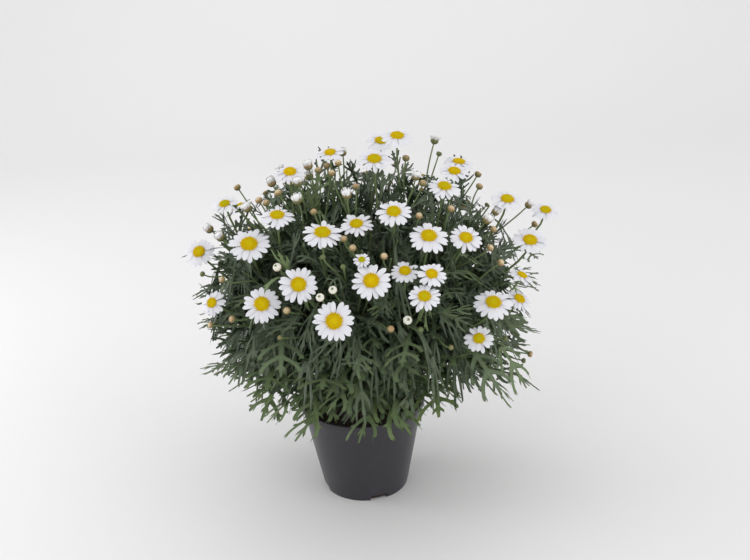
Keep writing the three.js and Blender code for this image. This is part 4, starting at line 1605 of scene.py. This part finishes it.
@dataclass
class Soil:
    """The peat in the pot, lumpy on top, with loose crumbs."""

    top: float = 118.0
    foot: float = 56.0
    rim: float = 78.4
    bottom: float = 2.6
    relief: float = 3.2
    crumbs: int = 420
    crumb_size: Pair = (0.7, 2.2)
    crumb_stretch: tuple[Pair, ...] = ((0.7, 1.4), (0.6, 1.2), (0.5, 0.9))
    hole: float = 8.6
    hole_foot: float = 80.0
    rings: int = 26

    def build(self, finishes: "Finishes") -> None:
        """Spins the bed, raises its lumps and strews the crumbs."""
        width = self.rim - 1.5 - self.hole
        profile = [(0.0, self.bottom), (self.foot, self.bottom), (self.rim, self.top - 3)]
        profile += [(self.rim - 1.5 - width * k / self.rings, self.top) for k in range(self.rings + 1)]
        profile += [(self.hole, self.hole_foot), (0.0, self.hole_foot)]
        bm = spun(profile, 110, MM)
        for vert in bm.verts:
            if vert.co.z > (self.top - 1) * MM:
                radius = math.hypot(vert.co.x, vert.co.y) / MM
                edge = min(1.0, (self.rim - radius) / 8, (radius - self.hole) / 4 + 0.2)
                lump = noise.fractal(vert.co * 55, 1.0, 2.1, 5)
                vert.co.z += (lump * self.relief * max(0.0, edge) - 2.0 * max(0.0, 1 - edge)) * MM
        finish_piece("soil_bed", to_mesh("soil_bed", bm), finishes.peat, "soil", ["soil"], crease=60)
        self._strew(finishes)

    def _strew(self, finishes: "Finishes") -> None:
        """Strews crumbs of peat over the bed."""
        bm = bmesh.new()
        bmesh.ops.create_icosphere(bm, subdivisions=1, radius=1)
        crumb = Shape.of("crumb", bm)
        crumbs = Cluster("soil_crumbs")
        random = SeededRandom(77)
        for _ in range(self.crumbs):
            radius = (self.rim - 5) * math.sqrt(random.between(0.03, 1))
            way = bearing_way(360 * random())
            size = random.between(*self.crumb_size)
            stretch = np.array([random.between(*limits) for limits in self.crumb_stretch])
            jag = 1 + 0.35 * np.sin(crumb.points @ [3.1, 5.2, 4.3] + 9 * random())[:, None]
            place = way * radius + UP * (self.top + random.between(-0.4, 1.4))
            crumbs.add(crumb, crumb.points * jag * stretch * size + place, random())
        crumbs.build(finishes.peat, "soil", ["soil"])


@dataclass
class WoodyBase:
    """The short brown trunk and its stubs."""

    foot: float = 80.0
    radius: float = 8.0
    crown: float = 128.0
    stub_radii: Pair = (5.2, 3.9)
    seed: int = 5

    def build(self, finishes: "Finishes") -> None:
        """Builds the trunk and one stub for each branch, with bark that is the same in every run."""
        noise.seed_set(self.seed)
        wood = Cluster("woody_stubs")
        bar = tube_shape(14, 14)
        middle = 0.5 * (self.foot + self.crown)
        trunk = Curve(*(UP * z for z in (self.foot, middle - 8, middle + 8, self.crown)))
        wood.add(bar, self._gnarl(place_tube(bar, trunk, self.radius, self.radius * 0.85), 0.5), 0.4)
        for branch in BRANCHES:
            low = UP * (self.crown - 6)
            end = branch.foot + branch.way * 1.5
            curve = Curve(low, low + UP * 9, end - branch.way * 12, end)
            wood.add(bar, self._gnarl(place_tube(bar, curve, *self.stub_radii), 0.45), 0.55)
        wood.build(finishes.bark, "wood", ["woody_base"])

    def _gnarl(self, points: Array, height: float) -> Array:
        """Makes bark uneven."""
        return points + np.array([noise.noise_vector(Vector(p) * 0.16) for p in points]) * height


# Finishes


class Socket:
    """A shader socket that takes part in Python arithmetic."""

    def __init__(self, tree: "Tree", socket: bpy.types.NodeSocket) -> None:
        """Wraps a node's output."""
        self.tree = tree
        self.socket = socket

    def _maths(self, operation: str, a: "Socket | float", b: "Socket | float") -> "Socket":
        """Adds one Math node."""
        return self.tree.node("ShaderNodeMath", {"operation": operation}, {0: a, 1: b})

    def __add__(self, other: "Socket | float") -> "Socket":
        """Adds."""
        return self._maths("ADD", self, other)

    def __radd__(self, other: float) -> "Socket":
        """Adds to a number."""
        return self._maths("ADD", other, self)

    def __sub__(self, other: "Socket | float") -> "Socket":
        """Subtracts."""
        return self._maths("SUBTRACT", self, other)

    def __rsub__(self, other: float) -> "Socket":
        """Subtracts from a number."""
        return self._maths("SUBTRACT", other, self)

    def __mul__(self, other: "Socket | float") -> "Socket":
        """Multiplies."""
        return self._maths("MULTIPLY", self, other)

    def power(self, exponent: float) -> "Socket":
        """Raises to a power."""
        return self._maths("POWER", self, exponent)


class Tree:
    """The nodes of one material."""

    def __init__(self, name: str) -> None:
        """Starts an empty material."""
        self.material = bpy.data.materials.new(name)
        self.material.use_nodes = True
        self.nodes = self.material.node_tree.nodes
        self.links = self.material.node_tree.links
        self.nodes.clear()

    def node(
        self,
        kind: str,
        settings: dict[str, object] | None = None,
        inputs: dict[int | str, object] | None = None,
        output: int | str = 0,
    ) -> Socket:
        """Adds a node.

        Args:
            kind: The node's type.
            settings: Its settings, a ramp's stops among them, which are set first.
            inputs: Values or links of its sockets, by index or identifier.
            output: The output that is wanted, by index or identifier.

        Returns:
            The output.
        """
        node = self.nodes.new(kind)
        for key, value in (settings or {}).items():
            if key == "stops":
                self._set_stops(node.color_ramp, value)
            else:
                setattr(node, key, value)
        for key, value in (inputs or {}).items():
            socket = self._find(node.inputs, key)
            if isinstance(value, Socket):
                self.links.new(value.socket, socket)
            else:
                socket.default_value = value
        return Socket(self, self._find(node.outputs, output))

    @staticmethod
    def _find(sockets: bpy.types.bpy_prop_collection, key: int | str) -> bpy.types.NodeSocket:
        """Finds a socket by its index or identifier."""
        return sockets[key] if isinstance(key, int) else next(s for s in sockets if s.identifier == key)

    @staticmethod
    def _set_stops(ramp: bpy.types.ColorRamp, stops: Sequence[tuple[float, Colour]]) -> None:
        """Sets a ramp's stops.

        Args:
            ramp: The ramp, which starts with two stops.
            stops: The place and the colour of each stop.
        """
        for k, (place, colour) in enumerate(stops):
            stop = ramp.elements[k] if k < 2 else ramp.elements.new(place)
            stop.position = place
            stop.color = (*colour, 1)

    def mix(self, share: "Socket | float", first: "Socket | Colour", second: "Socket | Colour") -> Socket:
        """Blends two colours.

        Args:
            share: How much of the second colour shows.
            first: The first colour.
            second: The second colour.

        Returns:
            The blend.
        """
        inputs: dict[int | str, object] = {"Factor_Float": share}
        for key, colour in (("A_Color", first), ("B_Color", second)):
            inputs[key] = colour if isinstance(colour, Socket) else (*colour, 1)
        return self.node("ShaderNodeMix", {"data_type": "RGBA"}, inputs, "Result_Color")

    def mark(self, name: str) -> Socket:
        """Reads one of the piece's own attributes."""
        return self.node("ShaderNodeAttribute", {"attribute_name": name}, output="Fac")

    def noise(self, scale: float, detail: float = 4.0, roughness: float = 0.55) -> Socket:
        """Adds a noise on the object's own coordinates.

        Args:
            scale: How many times it changes in a metre.
            detail: How fine it goes.
            roughness: How strong its fine part is.

        Returns:
            The noise, about 0.5.
        """
        place = self.node("ShaderNodeTexCoord", output="Object")
        values = {"Vector": place, "Scale": scale, "Detail": detail, "Roughness": roughness}
        return self.node("ShaderNodeTexNoise", inputs=values)

    def ramp(self, value: Socket, stops: Sequence[tuple[float, Colour]]) -> Socket:
        """Colours a value by a ramp's stops."""
        return self.node("ShaderNodeValToRGB", {"stops": stops}, {0: value})

    def clamp(self, value: Socket) -> Socket:
        """Keeps a value between 0 and 1."""
        return self.node("ShaderNodeClamp", inputs={"Value": value})

    def finish(
        self,
        colour: Socket,
        roughness: "Socket | float",
        height: Socket | None = None,
        bump: Pair = (0.2, 0.0005),
        specular: float = 0.5,
    ) -> Material:
        """Ends the material with its surface.

        Args:
            colour: Its base colour.
            roughness: Its roughness.
            height: What stands out of it, or None.
            bump: How strongly the height shows, and its size in metres.
            specular: Its specular level.

        Returns:
            The material.
        """
        inputs: dict[int | str, object] = {"Base Color": colour, "Roughness": roughness}
        inputs["Specular IOR Level"] = specular
        if height is not None:
            relief = {"Strength": bump[0], "Distance": bump[1], "Height": height}
            inputs["Normal"] = self.node("ShaderNodeBump", inputs=relief)
        surface = self.node("ShaderNodeBsdfPrincipled", inputs=inputs)
        end = self.nodes.new("ShaderNodeOutputMaterial")
        self.links.new(surface.socket, end.inputs[0])
        return self.material


@dataclass(frozen=True)
class LeafFinish:
    """Matt grey-green leaves: darker high up, with painted shade on the leaves inside the bush, fresher in
    the skirt, with a pale midrib.
    """

    name: str = "leaf_blade"
    # deep is the ramp's darkest green; on the inner leaves it is painted shade.
    deep: Colour = (0.03, 0.046, 0.02)
    grey: Colour = (0.092, 0.125, 0.076)
    fresh: Colour = (0.14, 0.2, 0.08)
    young: Colour = (0.27, 0.36, 0.07)
    pale: Colour = (0.22, 0.29, 0.16)

    def material(self) -> Material:
        """Makes the material."""
        tree = Tree(self.name)
        tone = tree.mark("tone")
        mottle = tree.noise(90, 3)
        stops = [(0.0, self.deep), (0.35, self.grey), (0.78, self.fresh), (1.0, self.young)]
        base = tree.ramp(tone + (mottle - 0.5) * 0.3, stops)
        vein = tree.clamp((tree.mark("across") - 0.7) * 3.4)
        colour = tree.mix(vein * 0.32, base, self.pale)
        fine = tree.noise(900, 2)
        return tree.finish(colour, 0.48 + mottle * 0.16, fine, (0.25, 0.0003), 0.4)


@dataclass(frozen=True)
class StemFinish:
    """Green stalks and cups, paler and yellower towards the heads."""

    name: str = "stem_green"
    low: Colour = (0.055, 0.075, 0.03)
    high: Colour = (0.17, 0.235, 0.09)

    def material(self) -> Material:
        """Makes the material."""
        tree = Tree(self.name)
        streak = tree.noise(260, 3)
        share = tree.mark("along") * 0.8 + (streak - 0.5) * 0.5 + (tree.mark("tone") - 0.5) * 0.5
        colour = tree.mix(tree.clamp(share), self.low, self.high)
        return tree.finish(colour, 0.5 + streak * 0.15, streak, (0.2, 0.0004))


@dataclass(frozen=True)
class RayFinish:
    """White rays with a faint painted lavender shade at the root and fine veins along them."""

    name: str = "ray_white"
    white: Colour = (0.77, 0.775, 0.815)
    shade: Colour = (0.6, 0.59, 0.7)

    def material(self) -> Material:
        """Makes the material."""
        tree = Tree(self.name)
        wave = tree.node("ShaderNodeMath", {"operation": "SINE"}, {0: tree.mark("across") * 62})
        # root masks the painted shade that darkens each ray towards the disc.
        root = (1 - tree.mark("along")).power(2.2)
        mottle = tree.noise(160, 3)
        share = root * 0.55 + (mottle - 0.5) * 0.25 + wave * 0.05 + (tree.mark("tone") - 0.5) * 0.12
        colour = tree.mix(tree.clamp(share), self.white, self.shade)
        return tree.finish(colour, 0.55 + mottle * 0.1, wave, (0.12, 0.0002), 0.3)


@dataclass(frozen=True)
class DiscFinish:
    """Yellow florets, deeper at the rim and greener in the middle of a young disc."""

    name: str = "disc_yellow"
    yellow: Colour = (0.76, 0.56, 0.0)
    deep: Colour = (0.64, 0.39, 0.0)
    green: Colour = (0.42, 0.5, 0.01)

    def material(self) -> Material:
        """Makes the material."""
        tree = Tree(self.name)
        out = tree.mark("along")
        fine = tree.noise(700, 2)
        rim = tree.mix(out.power(4.0) * 0.55, self.yellow, self.deep)
        young = (1 - out).power(1.6) * tree.mark("tone") * 1.6
        colour = tree.mix(tree.clamp(young), rim, self.green)
        return tree.finish(colour, 0.62 + fine * 0.15, fine, (0.3, 0.0003), 0.12)


@dataclass(frozen=True)
class BudFinish:
    """Bud scales, from green through tan and cream to white, greener at the foot."""

    name: str = "bud_scales"
    green: Colour = (0.12, 0.15, 0.05)
    tan: Colour = (0.36, 0.22, 0.095)
    cream: Colour = (0.64, 0.54, 0.34)
    white: Colour = (0.84, 0.83, 0.74)

    def material(self) -> Material:
        """Makes the material."""
        tree = Tree(self.name)
        fine = tree.noise(520, 3)
        up = tree.mark("along")
        share = tree.mark("tone") * (0.45 + up * 0.75) + (fine - 0.5) * 0.2
        stops = [(0.12, self.green), (0.36, self.tan), (0.66, self.cream), (0.88, self.white)]
        colour = tree.ramp(share, stops)
        return tree.finish(colour, 0.55 + fine * 0.15, fine, (0.25, 0.0003))


@dataclass(frozen=True)
class PotFinish:
    """Dark grey satin plastic with faint scuffs and a little dust."""

    name: str = "pot_plastic"
    dark: Colour = (0.022, 0.021, 0.027)
    worn: Colour = (0.04, 0.039, 0.047)

    def material(self) -> Material:
        """Makes the material."""
        tree = Tree(self.name)
        cloud = tree.noise(9, 5, 0.6)
        grain = tree.noise(1400, 2)
        scuff = tree.noise(45, 6, 0.7).power(5.0) * 5.0
        share = tree.clamp(cloud * 0.6 + scuff * 0.5 - 0.15)
        colour = tree.mix(share, self.dark, self.worn)
        return tree.finish(colour, 0.27 + cloud * 0.14, grain + scuff * 0.3, (0.1, 0.0002))


@dataclass(frozen=True)
class PeatFinish:
    """Moist dark peat with pale fibres."""

    name: str = "peat"
    dark: Colour = (0.012, 0.008, 0.006)
    brown: Colour = (0.05, 0.03, 0.018)
    fibre: Colour = (0.16, 0.1, 0.055)

    def material(self) -> Material:
        """Makes the material."""
        tree = Tree(self.name)
        lump = tree.noise(120, 6, 0.7)
        fibres = tree.noise(520, 4, 0.8)
        base = tree.mix(lump, self.dark, self.brown)
        colour = tree.mix(tree.clamp((fibres - 0.58) * 5), base, self.fibre)
        return tree.finish(colour, 0.85 + lump * 0.1, fibres, (0.6, 0.0015))


@dataclass(frozen=True)
class BarkFinish:
    """Dull brown bark with long cracks."""

    name: str = "bark"
    dark: Colour = (0.05, 0.034, 0.02)
    light: Colour = (0.2, 0.15, 0.09)

    def material(self) -> Material:
        """Makes the material."""
        tree = Tree(self.name)
        crack = tree.noise(300, 5, 0.7)
        colour = tree.ramp(crack, [(0.35, self.dark), (0.65, self.light)])
        return tree.finish(colour, 0.8 + crack * 0.1, crack, (0.7, 0.001))


@dataclass(frozen=True)
class PaperFinish:
    """The studio's plain pale paper."""

    name: str = "studio_paper"
    pale: Colour = (0.835, 0.83, 0.835)

    def material(self) -> Material:
        """Makes the material."""
        tree = Tree(self.name)
        shade = tuple(c * 0.98 for c in self.pale)
        return tree.finish(tree.mix(tree.noise(1.2, 2), self.pale, shade), 0.75)


class Finishes:
    """Every finish of the plant and its pot, each made once."""

    def __init__(self) -> None:
        """Makes the materials."""
        self.leaf = LeafFinish().material()
        self.stem = StemFinish().material()
        self.ray = RayFinish().material()
        # The bud rays take a lighter painted shade at the root.
        self.bud_ray = RayFinish("bud_ray_white", (0.9, 0.9, 0.9), (0.78, 0.77, 0.8)).material()
        self.disc = DiscFinish().material()
        self.bud = BudFinish().material()
        self.pot = PotFinish().material()
        self.peat = PeatFinish().material()
        self.bark = BarkFinish().material()
        self.paper = PaperFinish().material()


# Plant


@dataclass
class Plant:
    """The whole plant over the soil: heads, stalks, leaves and buds.

    Heads below low_head have longer leaves on their stalks. The radii are those of a stalk's foot and
    tip, and neck is how far under a head its stalk ends. bud_drop is how far below a bud its stalk
    starts, at least and at best, and too_near is what a nearer start costs in the choice.
    """

    finishes: Finishes
    low_head: float = 360.0
    collar_radii: Pair = (3.9, 3.4)
    flower_radii: Pair = (2.2, 1.25)
    leafy_radii: Pair = (2.0, 1.2)
    bud_radii: Pair = (1.2, 0.95)
    bud_centre: Place = (8.0, 0.0, 230.0)
    neck: float = 6.6
    bud_drop: Pair = (22.0, 48.0)
    too_near: float = 200.0

    def __post_init__(self) -> None:
        """Reads the heads and makes the shapes that are copied."""
        names = sorted({n[:8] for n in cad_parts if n.startswith("bloom_")})
        nodes = sorted(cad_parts, reverse=True)
        self.heads = [Head.read(name, [n for n in nodes if n.startswith(name)]) for name in names]
        self.head_maker = HeadMaker()
        self.bud_maker = BudMaker(self.head_maker.ray, self.head_maker.scale)
        self.leaves = {kind: LeafGrower(kind.value).grow() for kind in LeafKind}
        self.stalk = tube_shape(6, 12)
        self.twig = tube_shape(5, 8)
        self.growths = {branch.name: Growth(branch) for branch in BRANCHES}

    def build(self) -> None:
        """Builds the plant, branch by branch."""
        for growth in self.growths.values():
            self._add_collar(growth)
            self._add_flower_shoots(growth)
            self._add_leafy_shoots(growth)
            self._add_frame_leaves(growth)
        foliage = Foliage(self.leaves, Clearing.of(self.heads), self.twig, self.growths)
        for zone in ZONES:
            LOG.info("%s: %d leaves", zone.name, foliage.grow(zone))
        foliage.fill()
        self._add_buds(np.array(foliage.spots))
        for growth in self.growths.values():
            growth.build(self.finishes)

    def _add_collar(self, growth: Growth) -> None:
        """Adds the green start of a branch.

        Args:
            growth: What grows on the branch.
        """
        foot, fork, way = growth.branch.foot, growth.branch.fork, growth.branch.way * 15
        curve = Curve(foot, foot + way, fork - way, fork)
        growth.stems.add_stalk(self.stalk, curve, self.collar_radii, 0.2, (0, 0.2))

    def _add_flower_shoots(self, growth: Growth) -> None:
        """Builds the heads of one branch on their stalks.

        Args:
            growth: What grows on the branch.
        """
        for head in self.heads:
            if not growth.branch.holds(bearing_of(head.foot)):
                continue
            curve = flower_curve(growth.branch, head.foot - head.normal * self.neck, head.normal)
            if head.foot[2] < self.low_head:
                plan = LeafPlan(0.38, 0.84, 2, 76, 58, 0.3)
            else:
                plan = LeafPlan(0.38, 0.84, 2 if head.number % 4 else 3, 66, 58, 0.12)
            growth.shoots.append(Shoot(curve, plan, head.number))
            growth.stems.add_stalk(self.stalk, curve, self.flower_radii, 0.5, (0, 1))
            self.head_maker.build(head, self.finishes, growth.stems)

    def _add_leafy_shoots(self, growth: Growth) -> None:
        """Adds the shoots of one branch that carry no flower.

        Args:
            growth: What grows on the branch.
        """
        for number, (bearing, reach, z) in enumerate(LEAFY_SHOOTS):
            if not growth.branch.holds(bearing):
                continue
            curve = leafy_curve(bearing, reach, z)
            plan = LeafPlan(0.3, 1, 3, 92, 50, 0.34 if z < 215 else 0.3, 3 if z < 200 else 2)
            growth.shoots.append(Shoot(curve, plan, 100 + number))
            growth.stems.add_stalk(self.stalk, curve, self.leafy_radii, 0.4, (0, 0.6))

    def _add_frame_leaves(self, growth: Growth) -> None:
        """Adds the large leaves of one branch, each where the frame has it.

        Args:
            growth: What grows on the branch.
        """
        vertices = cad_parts[growth.branch.name].data.vertices
        tree = kdtree.KDTree(len(vertices))
        for i, vert in enumerate(vertices):
            tree.insert(vert.co / MM, i)
        tree.balance()
        for shoot in growth.shoots:
            random = SeededRandom(shoot.seed + 500)
            for pose in map(Outline().draw_in, shoot.frame_leaves(tree)):
                shape = self.leaves[LeafKind.BROAD_THREE if pose.pairs == 3 else LeafKind.BROAD_TWO]
                low = 1.0 - min(1.0, max(0.0, (pose.root[2] - 180) / 200))
                growth.leaves.add(shape, pose.place(shape), 0.2 + 0.45 * low + 0.25 * random())
        LOG.info("%s: %d of the frame's leaves", growth.branch.name, len(growth.leaves.shapes))

    def _add_buds(self, spots: Array) -> None:
        """Adds every bud on its stalk.

        Args:
            spots: Points of the twigs that the stalks may leave.
        """
        for number, (x, y, z, kind) in enumerate((*FRAME_BUDS, *MORE_BUDS)):
            place = np.array([x, y, z], float)
            growth = self.growths[branch_at(bearing_of(place)).name]
            normal = unit((place - self.bud_centre) * [1, 1, 1.3])
            radius = kind.value.radius
            bud = Head(f"bud_{number:02d}", number, place, normal, radius, (growth.branch.name,))
            if kind is YOUNG:
                self.head_maker.build(bud, self.finishes, growth.stems)
            else:
                self.bud_maker.add(bud, kind, growth.buds, growth.bud_petals)
            root = self._bud_root(spots, place, normal)
            neck = place - normal * min(radius, 5.5) * 0.9
            gap = float(np.linalg.norm(neck - root))
            bend = root + (neck - root) * 0.3 + UP * gap * 0.08
            curve = Curve(root, bend, neck - normal * gap * 0.35, neck)
            growth.stems.add_stalk(self.twig, curve, self.bud_radii, 0.6, (0.4, 1.0))

    def _bud_root(self, spots: Array, place: Array, normal: Array) -> Array:
        """Finds the point of the twigs that lies best under a bud.

        Args:
            spots: Points of the twigs.
            place: The bud's middle.
            normal: The bud's axis.

        Returns:
            The stalk's root.
        """
        least, best = self.bud_drop
        down = (place - spots) @ normal
        aside = np.linalg.norm(place - spots - down[:, None] * normal, axis=1)
        cost = aside + 0.5 * np.abs(down - best) + self.too_near * (down < least)
        return spots[int(np.argmin(cost))]


# Studio


@dataclass(frozen=True)
class Softbox:
    """A large square light: its place in metres, its side, its watts and what it looks at."""

    name: str
    place: Place
    side: float
    power: float
    aim: Place = (0, 0, 0.26)

    def hang(self) -> None:
        """Hangs the light."""
        data = bpy.data.lights.new(self.name, "AREA")
        data.shape = "SQUARE"
        data.size = self.side
        data.energy = self.power
        light = link(self.name, data)
        light.location = self.place
        way = Vector(self.aim) - Vector(self.place)
        light.rotation_euler = way.to_track_quat("-Z", "Y").to_euler()


@dataclass
class Studio:
    """The pale paper, the soft lights and the camera at the photograph's angle.

    The paper's sizes are metres: it is a floor that rises behind the plant in a round bend.
    """

    finishes: Finishes
    focal: float = 57.6
    sensor: float = 36.0
    pitch: float = 22.8
    roll: float = -2.5
    place: Place = (24.3, -1453.6, 913.4)
    half_width: float = 4.0
    front: float = -3.2
    bend_start: float = 1.6
    bend: float = 1.2
    paper_top: float = 5.0
    air: float = 0.73
    lights: tuple[Softbox, ...] = (
        Softbox("key", (-1.5, -1.4, 2.1), 2.6, 13),
        Softbox("fill", (2.2, -1.3, 1.0), 2.6, 24),
        Softbox("top", (0.3, 0.6, 2.9), 3.0, 8),
        Softbox("edge", (-1.7, 0.25, 0.45), 0.7, 10),
        Softbox("paper", (-0.9, 1.0, 2.6), 1.6, 6, (-0.4, 2.8, 0.9)),
    )

    def build(self) -> None:
        """Sets the whole studio, with pale air between the lights."""
        self._lay_paper()
        self._set_camera()
        for light in self.lights:
            light.hang()
        world = bpy.data.worlds.new("studio_air")
        world.use_nodes = True
        background = world.node_tree.nodes["Background"]
        background.inputs[0].default_value = (1, 1, 1, 1)
        background.inputs[1].default_value = self.air
        bpy.context.scene.world = world
        bpy.context.scene.view_settings.view_transform = "Standard"

    def _lay_paper(self) -> None:
        """Lays the paper, which rises in a wide bend behind the plant."""
        bm = bmesh.new()
        ends = [bm.verts.new((x, self.front, 0)) for x in (-self.half_width, self.half_width)]
        edge = bm.edges.new(ends)
        angles = np.linspace(0.1, math.pi / 2, 14)
        bend = [(self.bend * math.sin(a), self.bend * (1 - math.cos(a))) for a in angles]
        for y, z in ((0.0, 0.0), *bend, (self.bend, self.paper_top)):
            ends = of_kind(bmesh.ops.extrude_edge_only(bm, edges=[edge]), BMVert)
            for vert in ends:
                vert.co.y = self.bend_start + y
                vert.co.z = z
            edge = bm.edges.get(ends)
        bmesh.ops.recalc_face_normals(bm, faces=bm.faces)
        mesh = to_mesh("studio_paper", bm)
        mesh.materials.append(self.finishes.paper)
        mesh.shade_smooth()
        link("studio_paper", mesh)

    def _set_camera(self) -> None:
        """Sets the camera as it stood for the photograph."""
        data = bpy.data.cameras.new("camera")
        data.lens = self.focal
        data.sensor_width = self.sensor
        data.clip_end = 30
        camera = link("camera", data)
        tilt = Matrix.Rotation(math.radians(90 - self.pitch), 4, "X")
        roll = Matrix.Rotation(math.radians(self.roll), 4, "Z")
        camera.matrix_world = Matrix.Translation(Vector(self.place) * MM) @ tilt @ roll
        bpy.context.scene.camera = camera


def main() -> None:
    """Builds the pot, the plant and the studio in order."""
    logging.basicConfig(level=logging.INFO, format="%(name)s: %(message)s")
    finishes = Finishes()
    Pot().build(finishes)
    Soil().build(finishes)
    WoodyBase().build(finishes)
    Plant(finishes).build()
    Studio(finishes).build()


if __name__ == "__main__":
    main()
